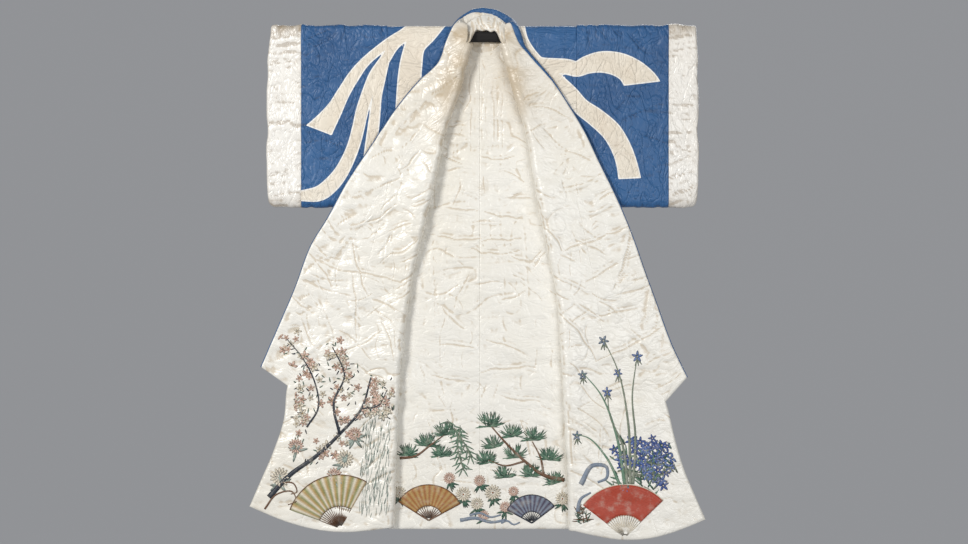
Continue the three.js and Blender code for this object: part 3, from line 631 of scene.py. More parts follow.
FOLDS_BEHIND = [
    (-391, -430, -285, -464, 6, -4.5, 0), (-137, -391, -221, -246, 8, -4.5, -5), (-344, -133, -195, -243, 9, 3, -4),
    (-406, -397, -241, -318, 8, 3, 3), (-283, -333, -199, -346, 8, -4, 5), (-655, -474, -514, -479, 7, 3.5, -5),
    (-182, -1169, -41, -1187, 11, -4.5, 6), (-529, -510, -493, -428, 7, -4, -1), (-656, -198, -515, -91, 8, -4, -3),
    (-521, -206, -367, -129, 9, -4, -6), (-155, -98, -148, 5, 8, 3, -6), (574, -293, 659, -275, 11, -5, 1),
    (74, -1009, 137, -993, 9, -4.5, -4), (-170, -1438, -59, -1412, 7, -5, -7), (-393, -209, -239, -254, 11, -5, 8),
    (-195, -155, -54, -120, 9, -4.5, 7), (52, -70, 133, -76, 9, 3, -5), (335, -82, 437, -101, 7, -5, -2),
    (123, -301, 183, -374, 11, -3.5, 4), (517, -393, 577, -384, 9, -3.5, 6), (30, -145, 99, -196, 11, -3.5, -8),
    (-616, -255, -576, -138, 6, 3, 6), (-265, -998, -255, -929, 9, -4.5, 4), (428, -274, 482, -318, 9, 3.5, 4),
    (-597, -46, -512, -55, 8, -4.5, -5), (-491, -217, -407, -279, 8, -5, 1), (-76, -396, 42, -432, 7, -4.5, 8),
    (94, -486, 230, -457, 11, -3.5, 2), (-152, -1252, 4, -1289, 11, -4.5, 3), (69, -1082, 243, -1028, 6, -3.5, 2),
    (468, -355, 567, -309, 8, -5, -5), (54, -783, 161, -702, 7, 3.5, 0), (416, -365, 573, -408, 9, 3.5, -4),
    (-228, -340, -111, -398, 8, -4, -1), (28, -1079, 197, -1132, 9, 3, -8), (-78, -786, 107, -808, 8, -3.5, -4),
    (470, -65, 626, -25, 7, -3.5, 5), (139, -671, 323, -659, 7, -5, 7), (-621, -345, -450, -379, 7, 3.5, -1),
    (-509, -141, -438, -135, 11, -3.5, -6), (453, -285, 428, -221, 11, 3.5, -3), (-158, -1212, -96, -1240, 7, -5, -5),
    (403, -68, 490, -92, 9, 3.5, 3), (491, -47, 588, 3, 9, 3, 6), (-261, -62, -106, -126, 8, 3, 6),
    (120, -1011, 295, -1033, 8, -5, 3), (196, -606, 313, -552, 9, 3, 1), (83, -1100, 168, -1115, 6, 3, 8),
    (390, -251, 446, -229, 6, -5, 0), (-499, -392, -410, -241, 11, -3.5, -7), (-188, -50, -37, -5, 9, -4, -5),
    (-707, -56, -527, -39, 8, 3, -5), (-326, -1315, -239, -1386, 6, -4.5, 2), (211, -89, 304, -87, 6, -3.5, 1),
    (-431, -489, -327, -415, 6, 3.5, 6), (-442, -138, -379, -130, 11, -4, 2), (221, -133, 383, -82, 6, -4.5, 3),
    (524, -466, 701, -475, 7, -4.5, -2), (80, -730, 180, -752, 7, -4.5, -2), (-332, -986, -189, -890, 7, -4.5, 8),
    (-434, -220, -373, -235, 11, -3.5, 7), (503, -127, 651, -57, 8, -5, -1), (-492, -561, -439, -408, 11, 3, -7),
    (-532, -491, -548, -344, 11, -5, 4),
]


def lining_relief(points, ways):
    """Height of the lining above its even lie: the turned fronts and collar, or the back's inside."""
    x, z = points[..., 0], points[..., 2]
    lean = np.where(x > 0, 1.0, -1.0)
    u = np.abs(x)
    restless = np.where(x > 0, 0.6, 1.0)
    broad = 5.0 * soft_noise(u * 0.8 + z * 0.5, z * 0.7 - u * 0.4, 90, 3) + 3.0 * soft_noise(x, z * 1.5, 42, 5)
    drawn = 0.9 * crumple(x * lean, z, 190, 52, -38, 11) + 0.4 * crumple(x * lean, z, 90, 30, 22, 23)
    sharp = (1.7 * creases(x * lean, z, 190, 56, -34, 101) + 1.3 * creases(x * lean, z, 130, 42, 24, 103)
             + 1.0 * creases(x * lean, z, 110, 34, 78, 107) + 0.45 * creases(x, z, 60, 17, -12, 109, 2.0))
    fine = 0.2 * crumple(x * lean, z, 46, 14, -14, 31) + 0.15 * soft_noise(x, z, 9, 37)
    height = (broad + drawn) * restless + sharp + fine + FOLD_RISE * folds(x, z, FOLDS_FRONT)
    return height * np.clip(0.45 - ways[..., 1], 0, 1)


def back_lining_relief(points):
    """Height of the back's lining above its even lie."""
    x, z = points[..., 0], points[..., 2]
    broad = 2.6 * soft_noise(x, z * 1.3, 80, 53) + 1.7 * soft_noise(x, z * 1.5, 38, 55)
    sharp = (1.2 * creases(x, z, 170, 58, 5, 111) + 0.9 * creases(x, z, 120, 44, -42, 113)
             + 0.8 * creases(x, z, 160, 36, 88, 127) + 0.35 * creases(x, z, 50, 16, 12, 131, 2.0))
    fine = 0.2 * crumple(x, z, 44, 13, 86, 61) + 0.15 * soft_noise(x, z, 8, 67)
    return broad + sharp + fine + FOLD_RISE * folds(x, z, FOLDS_BACK_LINING)


def silk_relief(points, facing):
    """Height of the blue silk above its even lie, on the side that faces forwards (-1) or backwards (1)."""
    x, z = points[..., 0], points[..., 2]
    shift = np.where(facing < 0, 0.0, 400.0)
    broad = 2.0 * soft_noise(x + shift, z, 90, 71) + 1.2 * soft_noise(x - shift, z, 38, 72)
    drawn = 1.0 * crumple(x + shift, z, 120, 30, 10, 73) + 0.5 * crumple(x - shift, z, 60, 15, -25, 79)
    sharp = (1.2 * creases(x + shift, z, 110, 30, 12, 137) + 1.0 * creases(x + shift, z, 80, 24, -34, 139)
             + 0.8 * creases(x - shift, z, 70, 22, 84, 149))
    even = broad + drawn + 0.6 * sharp + 0.2 * soft_noise(x + shift, z, 9, 83)
    free = pressed(x, z)
    front = (even + SLEEVE_FOLD_RISE * folds(x, z, FOLDS_SLEEVES)) * free - 1.5 * (1 - free)
    return np.where(facing < 0, front, even + folds(x, z, FOLDS_BEHIND))


def neck_fold_tint(x, z):
    """From 0 to 1: how much browner the lining is tinted, most of all along the lapels' fold near the neck."""
    high = 1.3 * ease((z + 420) / 270) * (1 - 0.75 * ease((z - 5) / 40))
    close = np.exp(-((np.abs(x) - 70 + 0.16 * (z + 80)) / 60)**2)
    return high * (0.25 + 0.75 * close) * (0.7 + 0.3 * soft_noise(x, z, 40, 7))


def pressed(x, z):
    """From 0 to 1: how free the silk is of the turned front that lies on it, and of its edge."""
    free = np.ones_like(x)
    for side, sign in SIGNS.items():
        rows = [(row[EDGE_Z], row[EDGE_X]) for row in FRONTS[side][COLLAR_END_ROW::-1]]
        heights, edges = zip(*sorted(rows))
        edge = np.interp(z, heights, edges)
        free = np.where(x * sign > 0, ease((np.abs(x) - edge - 4) / 45), free)
    return free


def puckers(x, z, seam_x, reach, seed):
    """Small level creases that a gathered seam at seam_x throws to both sides."""
    near = np.exp(-np.abs(np.abs(x) - seam_x) / reach)
    return 0.9 * near * (soft_noise(x * 0.12 + seed, z, 9, seed) + 0.7 * soft_noise(x * 0.1, z, 21, seed + 1))


# ---------------------------------------------------------------- pieces of cloth

HEM_GIVE = 0.7             # how much of a hem's round the wadding's hidden face shares
TUCKED = 1.5               # the wadding's hidden face lies this far under the lining's creases
RIM_START, RIM_REACH = 6, 20   # where it starts to sink away from a rim, and over what length

ROW_STEP = {"fine": 3.4, "middle": 5.2, "plain": 7.2}
SHARES = {
    "under": np.concatenate([[1.0, 0.993, 0.985], np.linspace(0.965, 0.02, 42), [0.0]]),
    "turned": np.concatenate([np.linspace(0.014, 0.975, 75), [0.985, 1.0]]),
    "turned_plain": np.concatenate([np.linspace(0.03, 0.96, 26), [0.985, 1.0]]),
    "overlap": np.concatenate([[-0.022, -0.008, 0.01, 0.03], np.linspace(0.055, 0.92, 34), 1 - ROUND_IN[::-1]]),
    "back": np.concatenate([[0.0, 0.006, 0.015], np.linspace(0.025, 0.90, 72), [0.93, 0.96, 0.985, 1.0]]),
    "back_plain": np.concatenate([[0.0, 0.01], np.linspace(0.04, 0.96, 34), [0.985, 1.0]]),
}
SEAM_ROUND = 4.0
BACKED = LINING + 1.5      # the lining and the fluff of wadding that clings to it


def lifted(points, ways, distance):
    """Points moved along their ways to the lining."""
    return points + ways * distance[..., None]


def hidden_face(drop, rise, to_rim, sink):
    """How deep the wadding's hidden face lies: close under the lining at the rims, well clear of it elsewhere."""
    return WADDED - HEM_GIVE * drop + np.minimum(rise, 0) - TUCKED - sink * ease((to_rim - RIM_START) / RIM_REACH)


def seam_groove(distance, depth=1.0):
    """How far the cloth is drawn in at a distance from a seam."""
    return depth * rounding(distance, SEAM_ROUND) / SEAM_ROUND


def dress(piece, *nodes, slot):
    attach(piece, "root")
    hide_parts(*nodes)
    return piece


def satin_values(points, rise, neck_tint_share=1.0):
    """What the satin's finish reads: the depth of its creases, which the finish darkens as painted shade, and how much
    browner it is tinted: most near the lapels' fold at the neck, and at a stain on the back.
    """
    x, z = points[..., 0], points[..., 2]
    stain = np.exp(-((x - 6)**2 + (z + 478)**2) / 13.0**2) * (0.6 + 0.4 * soft_noise(x, z, 7, 3))
    brown_tint = np.clip(neck_tint_share * neck_fold_tint(x, z), 0, 1) + (0.8 * stain if neck_tint_share < 1 else 0)
    return {"crease": groove_depth(rise), "brown_tint": brown_tint}


def front_pieces(side, silk, satin):
    """The silk and the satin of one front."""
    points, ways = front_controls(side, SHARES["under"], SHARES["turned_plain"], np.array([]))
    crest = len(SHARES["under"])
    points, ways = refine_rows(points, ways, ROW_STEP["plain"], crest, open_end=True)
    _, to_hem, from_side, to_edge = edge_distances(points)
    hem = rounding(to_hem, EDGE)
    facing = -np.sign(ways[..., 1] + 1e-9)
    flat = np.abs(ways[..., 1]) ** 3
    relief = silk_relief(points, facing) * flat * ease(from_side / 4 + 0.3)
    near_distance = hem + seam_groove(from_side) + seam_groove(to_edge) - relief
    lower = lining_relief(points + ways * WALL, ways)
    far_distance = hidden_face(hem, lower, to_hem, 3.5)
    values = {"ribbon": ribbons(points, facing)}
    cloth = wall_piece(f"front_silk_{side}", lifted(points, ways, np.minimum(near_distance, far_distance - 1)),
                       lifted(points, ways, far_distance), silk, values, hidden="far")
    dress(cloth, f"front_{side}", slot="blue_silk")

    under = SHARES["under"][[0, 6, 14, 22, 30, 36, 41, 43, 45]]
    points, ways = front_controls(side, under, SHARES["turned"], np.array([]))
    points, ways = refine_rows(points, ways, ROW_STEP["fine"], len(under), open_end=True)
    _, to_hem, from_side, to_edge = edge_distances(points)
    drop = rounding(to_hem, EDGE) + seam_groove(to_edge, 1.4)
    rise = lining_relief(points + ways * WALL, ways)
    top = WALL - drop + rise
    lining = wall_piece(f"front_satin_{side}", lifted(points, ways, top - BACKED), lifted(points, ways, top),
                        satin, satin_values(points, rise), hidden="near")
    dress(lining, f"front_lining_{side}", slot="ivory_lining")


def overlap_pieces(side, silk, satin):
    """The silk and the satin of one overlap panel, which hangs from its front's edge."""
    points, ways = front_controls(side, SHARES["under"][-2:], np.array([1.0]), SHARES["overlap"])
    width = len(SHARES["overlap"])
    cut = points[OVERLAP_TIP_ROW:, -width:], ways[OVERLAP_TIP_ROW:, -width:]
    collar_end = FRONTS[side][COLLAR_END_ROW][SEAM_Z]
    for kind, step in (("silk", ROW_STEP["plain"]), ("satin", ROW_STEP["fine"])):
        points, ways = refine_rows(*cut, step, open_end=True)
        opened = ease((collar_end + 12 - points[:, -1:, 2]) / 24)
        _, to_hem, from_left, to_edge = edge_distances(points)
        slim = np.clip(from_left[:, -1:] / 12, 0.05, 1)
        drop = np.maximum(rounding(to_hem, EDGE), rounding(to_edge, EDGE) * opened)
        grooves = (seam_groove(from_left) + seam_groove(to_edge) * (1 - opened)) * slim
        rise = lining_relief(points + ways * WALL, ways)
        if kind == "silk":
            facing = np.ones(points.shape[:2])
            far = hidden_face(drop, rise, np.minimum(to_hem, to_edge), 3.0)
            near = np.minimum(drop + grooves - silk_relief(points, facing) * slim, far - 1)
            piece = wall_piece(f"overlap_silk_{side}", lifted(points, ways, near), lifted(points, ways, far),
                               silk, {"ribbon": ribbons(points, facing)}, hidden="far")
            dress(piece, f"overlap_{side}", slot="blue_silk")
        else:
            top = WALL - drop - grooves * 1.4 + rise
            piece = wall_piece(f"overlap_satin_{side}", lifted(points, ways, top - BACKED),
                               lifted(points, ways, top), satin, satin_values(points, rise), hidden="near")
            dress(piece, f"overlap_lining_{side}", slot="ivory_lining")


def back_pieces(side, silk, satin):
    """The silk and the satin of one half of the back."""
    points, ways = back_controls(side, SHARES["back_plain"])
    points, ways = refine_rows(points, ways, ROW_STEP["plain"], open_end=True)
    _, to_hem, from_centre, to_side = edge_distances(points)
    hem = rounding(to_hem, EDGE)
    relief = silk_relief(points, np.ones(points.shape[:2])) * ease(to_side / 4 + 0.3)
    inner = back_lining_relief(points)
    far_distance = hidden_face(hem, inner, to_hem, 3.0)
    near_distance = np.minimum(hem + seam_groove(from_centre, 1.3) + seam_groove(to_side) - relief, far_distance - 1)
    cloth = wall_piece(f"back_silk_{side}", lifted(points, ways, near_distance),
                       lifted(points, ways, far_distance), silk,
                       {"ribbon": ribbons(points, np.ones(points.shape[:2]))}, hidden="far")
    dress(cloth, f"back_{side}", slot="blue_silk")

    points, ways = back_controls(side, SHARES["back"])
    points, ways = refine_rows(points, ways, ROW_STEP["fine"], open_end=True)
    _, to_hem, from_centre, to_side = edge_distances(points)
    clear = ease((-20 - points[..., 2]) / 60)
    rise = back_lining_relief(points) * clear
    top = WALL - rounding(to_hem, EDGE) - seam_groove(from_centre) + rise
    lining = wall_piece(f"back_satin_{side}", lifted(points, ways, top - BACKED), lifted(points, ways, top),
                        satin, satin_values(points, rise, 0.45), hidden="near")
    dress(lining, f"back_lining_{side}", slot="ivory_lining")


def collar_draw(rows):
    """How far the lining is drawn in from the free edge at each station from the right front's to the left's."""
    place = np.arange(rows) - (rows - 1) / 2
    return np.interp(place, [-14, -8, -3, 0, 3, 6, 9, 12, 14, 18], [3, 4, 9, 15, 20, 26, 28, 22, 12, 3])


def neck_pieces(satin):
    """The loose lining of the neck: it hangs from behind the neck over the slat in puckers and one deep fold."""
    u, v = np.meshgrid(np.linspace(-72, 98, 64), np.linspace(0, 1, 34))
    middle = u - 12
    sides = ease((np.abs(middle + 1) - 30) / 26)
    hang = np.exp(-((u - 27) / 12)**2)
    top = 70 - 0.0085 * middle**2
    low = 20 + 2.5 * soft_noise(u, v * 0, 15, 163) - 5 * hang - 52 * ease((np.abs(middle + 1) - 26) / 34)
    z = mix(top, low, v)
    deep = mix(6 - 0.0060 * middle**2, -15 - 31 * sides, v**1.2)
    belly = -8 * np.sin(np.pi * np.clip(v, 0, 1)) * (1 - 0.6 * sides) - 9 * hang * v
    gathers = 2.6 * soft_noise(u + 0.25 * (z - 40), v * 0.9 * 34, 13, 167) + 1.6 * soft_noise(u, v * 40, 7, 173)
    gathers = gathers * (0.35 + 0.65 * v)
    pleats = folds(u, z, [(-30, 52, -22, 12, 7, 7, 3), (-8, 62, 12, 22, 7, 9, -4), (46, 60, 38, 24, 6, 8, 3),
                          (66, 44, 56, 6, 6, 7, -3), (-48, 34, -40, -20, 7, 6, 3), (8, 40, 30, 30, 5, 8, 4)])
    lip = 3.0 * ease((v - 0.93) / 0.07)
    far = np.stack([u, deep + belly - gathers - pleats + lip, z], axis=-1)
    near = far + np.array([0.0, 2.2, -0.8])
    # painted shade: the crease value darkens the puckers and pleats; the brown tint grows down the lining, and its
    # extra brown at the sides is painted shade where they sink into the gaps beside the lapels
    values = {"crease": groove_depth(gathers + pleats) * 1.5, "brown_tint": 0.2 * v + 0.6 * sides * v}
    piece = wall_piece("neck_satin", near, far, satin, values)
    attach(piece, "root")


def collar_pieces(silk, satin):
    """The collar's silk and satin, one band from hem to hem round the neck."""
    stations = 2 * (COLLAR_END_ROW + 1) + 4 * 6 + 1
    silk_across = np.concatenate([[0.0, 0.012, 0.03], np.linspace(0.07, 0.90, 20), 1 - ROUND_IN[::-1]])
    points, ways = collar_controls(np.tile(silk_across, (stations, 1)))
    width = edge_distances(points)[2][:, -1]
    points, ways, draw = refine_rows(points, ways, ROW_STEP["middle"], open_start=True, open_end=True,
                                     extra=collar_draw(stations))
    draw = draw[:, None]
    from_start, to_end, from_seam, to_free = edge_distances(points)
    ends = np.maximum(rounding(from_start, EDGE), rounding(to_end, EDGE))
    free = rounding(to_free, EDGE)
    drop = np.maximum(ends, free)
    rise = lining_relief(points + ways * WALL, ways)
    bare = ease((draw - to_free + 1.0) / 2.0)
    far_distance = mix(WADDED - HEM_GIVE * drop + np.minimum(rise, 0) - TUCKED, WALL - 1.03 * drop + rise * 0.6, bare)
    back = silk_relief(points, np.ones(points.shape[:2])) * np.abs(ways[..., 1])
    near_distance = np.minimum(drop + seam_groove(from_seam) - 0.6 * back, far_distance - 1)
    cloth = wall_piece("collar_silk", lifted(points, ways, near_distance), lifted(points, ways, far_distance),
                       silk, {"ribbon": np.full(points.shape[:2], -40.0)})
    dress(cloth, "collar_left", "collar_back", "collar_right", slot="blue_silk")

    shares = np.concatenate([[-0.03, -0.01, 0.01, 0.035], np.linspace(0.07, 0.95, 20), [0.98, 1.0]])
    reach = 1 - collar_draw(stations)[:, None] / width[:, None]
    behind = np.clip(13 - np.abs(np.arange(stations) - (stations - 1) / 2), 0, 3) / 3
    under = behind[:, None] * -0.10 * (1 - shares[None, :])
    points, ways = collar_controls(reach * shares[None, :] + under)
    points, ways = refine_rows(points, ways, ROW_STEP["fine"], open_start=True, open_end=True)
    from_start, to_end, from_seam, to_free = edge_distances(points)
    ends = np.maximum(rounding(from_start, EDGE), rounding(to_end, EDGE))
    rise = lining_relief(points + ways * WALL, ways)
    top = WALL - ends - 0.35 * rounding(to_free, EDGE) - seam_groove(from_seam, 1.4) + rise + 0.4
    lining = wall_piece("collar_satin", lifted(points, ways, top - BACKED), lifted(points, ways, top), satin,
                        satin_values(points, rise), hidden="near")
    dress(lining, "collar_lining_left", "collar_lining_back", "collar_lining_right", slot="ivory_lining")


# ---------------------------------------------------------------- sleeves

RING = 250
CUFF_DRAW = {"left": 8.0, "right": 15.0}     # how far the tops of the cuffs' mouths are drawn in


def corner_lift(x, end):
    over = max(x - (end - CUFF_CORNER), 0.0)
    return CUFF_CORNER - math.sqrt(max(CUFF_CORNER**2 - over**2, 0.0))


def sleeve_loop(lift):
    """Outer and inner loop of a sleeve's section, round from the shoulder fold by way of the front."""
    bottom = SLEEVE_DROP + lift
    half = []
    for out, z, lean in SHOULDER:
        a = math.radians(lean)
        half.append((out, z, out - WALL * math.cos(a), z - WALL * math.sin(a)))
    half += [(float(silk_out(z)), z, float(hollow(z)), z) for z in SLEEVE_LEVELS]
    half += [(out, bottom + up, in_out, bottom + in_up) for out, up, in_out, in_up in LOWER_FOLD]
    ring = half + [(0.0, bottom, 0.0, bottom + 18)] + [(-a, b, -c, d) for a, b, c, d in half[:0:-1]]
    ring.append(ring[0])
    ring = np.array(ring, float)
    knots = np.concatenate([[0.0], np.cumsum(np.linalg.norm(np.diff(ring[:, :2], axis=0), axis=-1))])
    padded_ring = np.concatenate([ring[-3:-1], ring, ring[1:3]])
    padded_knots = np.concatenate([knots[-3:-1] - knots[-1], knots, knots[1:3] + knots[-1]])
    even = np.linspace(0, knots[-1], RING + 1)
    fine = spline(padded_ring, padded_knots, even)
    return fine[:, :2], fine[:, 2:]


def sleeve_grid(side, stations, silk_kind):
    """The outer and the inner grid of one sleeve with its cuff."""
    sign = SIGNS[side]
    seam, end = SLEEVES[side]
    outer, inner, out_way = [], [], []
    for x in stations:
        lift = corner_lift(x, end) if silk_kind == "cuff" else 0.0
        loop, hole = sleeve_loop(lift)
        tangent = np.gradient(np.concatenate([loop[-3:-1], loop, loop[1:3]]), axis=0)[2:-2]
        normal = np.stack([-tangent[:, 1], tangent[:, 0]], axis=-1)
        normal /= np.linalg.norm(normal, axis=-1, keepdims=True)
        centre = np.array([0.0, -250.0])
        if ((loop - centre) * normal).sum() < 0:
            normal = -normal
        at = lambda p: np.stack([np.full(len(p), sign * x), -p[:, 0], p[:, 1]], axis=-1)
        outer.append(at(loop)), inner.append(at(hole))
        out_way.append(np.stack([np.zeros(len(loop)), -normal[:, 0], normal[:, 1]], axis=-1))
    outer, inner = np.array(outer), np.array(inner)
    if silk_kind == "cuff":
        for grid in (outer, inner):
            z = grid[..., 2]
            draw = CUFF_DRAW[side] * ease((z + 110) / 150) + 5 * ease((SLEEVE_DROP + 90 - z) / 90)
            draw -= 3.0 * soft_noise(z, z * 0, 60, 179)
            grid[..., 0] -= sign * draw * np.clip((np.abs(grid[..., 0]) - seam) / (end - seam), 0, 1)
    return outer, inner, np.array(out_way)


def sleeve_relief(points, ways, seam):
    x, z = points[..., 0], points[..., 2]
    facing = np.sign(points[..., 1] - 1e-6)
    body = silk_relief(points, facing) * ease(np.abs(ways[..., 1]) * 1.6)
    crest = np.exp(-np.clip(SHOULDER[0][1] - z, 0, None) / 22)
    foot = np.exp(-np.clip(z - SLEEVE_DROP, 0, None) / 20)
    scallop = crest * (2.6 + 1.5 * np.sin(x / 15.5) + 2.0 * np.abs(soft_noise(x, z * 0.2, 15, 91))
                       - 3.5 * creases(x, z * 0.3, 20, 17, 90, 181, 3.0))
    scallop += 2.0 * foot * soft_noise(x, z * 0.2, 16, 93)
    return body + scallop + puckers(x, z, seam, 26, 95) * (1 - crest) * (1 - foot)


def sleeve_pieces(side, silk, satin):
    """One sleeve's silk and its cuff's satin."""
    seam, end = SLEEVES[side]
    start = HALF_WIDTH
    for kind, first, last in (("sleeve", start, seam), ("cuff", seam, end - 1.0)):
        count = max(int((last - first) / 3.9), 6)
        near_first = first + np.array([0, 0.8, 2.2])
        near_last = last - (np.array([2.2, 0.8, 0]) if kind == "sleeve" else np.array([6.5, 4.4, 2.0, 0.7, 0]))
        middle = np.linspace(first, last, count + 1)
        middle = middle[(middle > near_first[-1] + 2) & (middle < near_last[0] - 2)]
        stations = np.concatenate([near_first, middle, near_last])
        outer, inner, ways = sleeve_grid(side, stations, kind)
        x = stations[:, None]
        drop = seam_groove(x - first, 1.5)
        if kind == "cuff":
            mouth = rounding(last - x, EDGE)
            drop = drop + mouth * 0.85
            inward = mouth * 0.75
        else:
            drop = drop + seam_groove(last - x, 1.5)
            inward = np.zeros_like(x)
        rise = sleeve_relief(outer, ways, seam)
        rise *= 1 - 0.55 * np.exp(-(end - x) / 9)
        surface = lifted(outer, ways, rise - drop)
        hole = inner + ways * inward[..., None]
        z = outer[..., 2]
        # the cuff's satin is tinted browner at its top, at its foot and at both ends; at the top this is in part
        # painted shade where the cuff turns upward, in part old soiling
        tinted_brown = (1.1 * ease((z + 12) / 38) + 0.5 * ease((SLEEVE_DROP + 75 - z) / 75) + 0.3 * np.exp(-(x - first) / 7)
                   + 0.35 * np.exp(-(last - x) / 7)) * (0.75 + 0.5 * soft_noise(outer[..., 0], z, 22, 191))
        name, slot, material = (("sleeve_silk", "blue_silk", silk) if kind == "sleeve"
                                else ("cuff_satin", "cream_satin", satin))
        # the crease value darkens the silk and the satin in their creases: painted shade
        values = {"crease": groove_depth(rise)}
        if kind == "sleeve":
            values["ribbon"] = ribbons(outer, np.sign(outer[..., 1] - 1e-6))
        else:
            values["brown_tint"] = np.clip(tinted_brown, 0, 1)
        piece = tube_piece(f"{name}_{side}", surface, hole, material, values)
        dress(piece, f"{kind}_{side}", slot=slot)


# ---------------------------------------------------------------- ribbons on the blue silk

# spine as x, z and half width, and where the ribbon is cut off: x, z and the way that the cut faces
RIBBONS_FRONT = [
    ([(-133, 67, 38), (-232, 14, 21), (-293, -20, 16), (-362, -73, 15), (-405, -124, 19), (-442, -184, 21),
      (-471, -237, 27), (-515, -300, 41), (-539, -333, 54)], (-515, -300, -0.36, -0.93)),
    ([(-181, 44, 32), (-266, -13, 19), (-309, -76, 17), (-338, -124, 21), (-361, -178, 20), (-380, -235, 20),
      (-393, -292, 20), (-406, -342, 20), (-425, -390, 21), (-450, -436, 23), (-482, -474, 25), (-520, -500, 24),
      (-583, -507, 16)], None),
    ([(-309, -76, 16), (-321, -130, 16), (-334, -192, 16), (-342, -265, 18), (-349, -321, 19), (-361, -409, 19)], None),
    ([(-158, 57, 48), (-184, 16, 43), (-213, -32, 33), (-225, -87, 36), (-231, -144, 38), (-235, -216, 39),
      (-241, -298, 38)], None),
    ([(126, 67, 11), (126, 36, 10), (136, -10, 10), (155, -51, 15), (184, -92, 19), (222, -146, 16)], None),
    ([(178, -86, 21), (206, -94, 25), (267, -97, 25), (301, -104, 25), (336, -90, 29), (380, -82, 34),
      (429, -89, 38), (471, -111, 43), (504, -150, 54), (520, -190, 63)], (504, -151, 0.12, -0.99)),
    ([(209, -108, 19), (243, -144, 22), (283, -184, 24), (315, -224, 27), (360, -257, 30), (409, -301, 32),
      (439, -350, 32), (457, -398, 33), (468, -453, 36), (472, -488, 38)], (468, -452, 0.05, -1)),
]
RIBBONS_BEHIND = [
    ([(-190, 60, 46), (-150, -60, 40), (-60, -150, 30), (60, -220, 26), (200, -262, 28), (330, -262, 31),
      (440, -215, 36), (520, -130, 46), (545, -90, 52)], (520, -130, 0.5, 0.86)),
    ([(-190, 60, 44), (-186, -120, 33), (-130, -280, 25), (-40, -420, 22), (90, -540, 23), (190, -690, 26),
      (232, -860, 32), (214, -1010, 44), (200, -1070, 52)], (216, -1005, -0.12, -0.99)),
    ([(-200, 60, 40), (-236, -120, 30), (-258, -300, 25), (-236, -480, 22), (-170, -640, 24), (-100, -790, 28),
      (-70, -950, 34), (-92, -1090, 46), (-104, -1150, 52)], (-90, -1080, -0.17, -0.98)),
    ([(-235, 60, 30), (-322, -60, 20), (-400, -180, 18), (-448, -300, 25), (-512, -420, 40), (-540, -470, 48)],
     (-510, -415, -0.5, -0.87)),
    ([(-240, 60, 26), (-380, -10, 17), (-480, -62, 21), (-552, -150, 36), (-580, -190, 44)],
     (-550, -148, -0.62, -0.78)),
    ([(126, 67, 11), (176, -50, 15), (280, -100, 22), (400, -78, 27), (505, -14, 38), (540, 14, 44)],
     (505, -14, 0.8, 0.6)),
]


def ribbon_field(x, z, table):
    """Distance inside the nearest ribbon's edge, in millimetres; negative on the open ground."""
    best = np.full(x.shape, -60.0)
    for spine, cut in table:
        inside = np.full(x.shape, -60.0)
        fine = spline(spine, np.arange(len(spine)), np.linspace(0, len(spine) - 1, 4 * len(spine)))
        for (x0, z0, w0), (x1, z1, w1) in zip(fine[:-1], fine[1:]):
            dx, dz = x1 - x0, z1 - z0
            t = np.clip(((x - x0) * dx + (z - z0) * dz) / (dx * dx + dz * dz), 0, 1)
            inside = np.maximum(inside, mix(w0, w1, t) - np.hypot(x - x0 - t * dx, z - z0 - t * dz))
        if cut:
            cut_x, cut_z, way_x, way_z = cut
            inside = np.minimum(inside, (cut_x - x) * way_x + (cut_z - z) * way_z)
        best = np.maximum(best, inside)
    return best


def ribbons(points, facing):
    """The ribbons' field over a front (-1) or the back (1)."""
    x, z = points[..., 0], points[..., 2]
    return np.where(facing < 0, ribbon_field(x, z, RIBBONS_FRONT), ribbon_field(x, z, RIBBONS_BEHIND))


# ---------------------------------------------------------------- finishes


def node_group(name, inputs, outputs):
    group = bpy.data.node_groups.new(name, "ShaderNodeTree")
    for label, kind, value in inputs:
        socket = group.interface.new_socket(name=label, in_out="INPUT", socket_type=f"NodeSocket{kind}")
        socket.default_value = value
    for label, kind in outputs:
        group.interface.new_socket(name=label, in_out="OUTPUT", socket_type=f"NodeSocket{kind}")
    return group, group.nodes.new("NodeGroupInput"), group.nodes.new("NodeGroupOutput")


class Maker:
    """Short words for adding nodes to a tree and joining them."""

    def __init__(self, tree):
        self.tree = tree

    def add(self, kind, settings=None, **inputs):
        node = self.tree.nodes.new(f"ShaderNode{kind}")
        for key, value in (settings or {}).items():
            setattr(node, key, value)
        for key, value in inputs.items():
            self.set(node.inputs[int(key[1:]) if key[0] == "i" and key[1:].isdigit() else key.replace("_", " ")], value)
        return node

    def set(self, socket, value):
        if isinstance(value, bpy.types.NodeSocket):
            self.tree.links.new(value, socket)
        else:
            socket.default_value = value

    def math(self, operation, a, b=0.0, c=0.0, clamp=False):
        node = self.add("Math", {"operation": operation, "use_clamp": clamp}, i0=a, i1=b, i2=c)
        return node.outputs[0]

    def blend(self, factor, a, b, kind="MIX"):
        node = self.add("Mix", {"data_type": "RGBA", "blend_type": kind, "clamp_factor": True})
        self.set(node.inputs[0], factor), self.set(node.inputs[6], a), self.set(node.inputs[7], b)
        return node.outputs[2]

    def ramp(self, value, low, high, from_value=0.0, to_value=1.0):
        node = self.add("MapRange", {"clamp": True, "interpolation_type": "SMOOTHSTEP"})
        for k, v in enumerate((value, low, high, from_value, to_value)):
            self.set(node.inputs[k], v)
        return node.outputs[0]

    def noise(self, vector, scale, detail=3.0, roughness=0.5, distortion=0.0):
        node = self.add("TexNoise", None, Vector=vector, Scale=scale, Detail=detail, Roughness=roughness,
                        Distortion=distortion)
        return node.outputs[0]


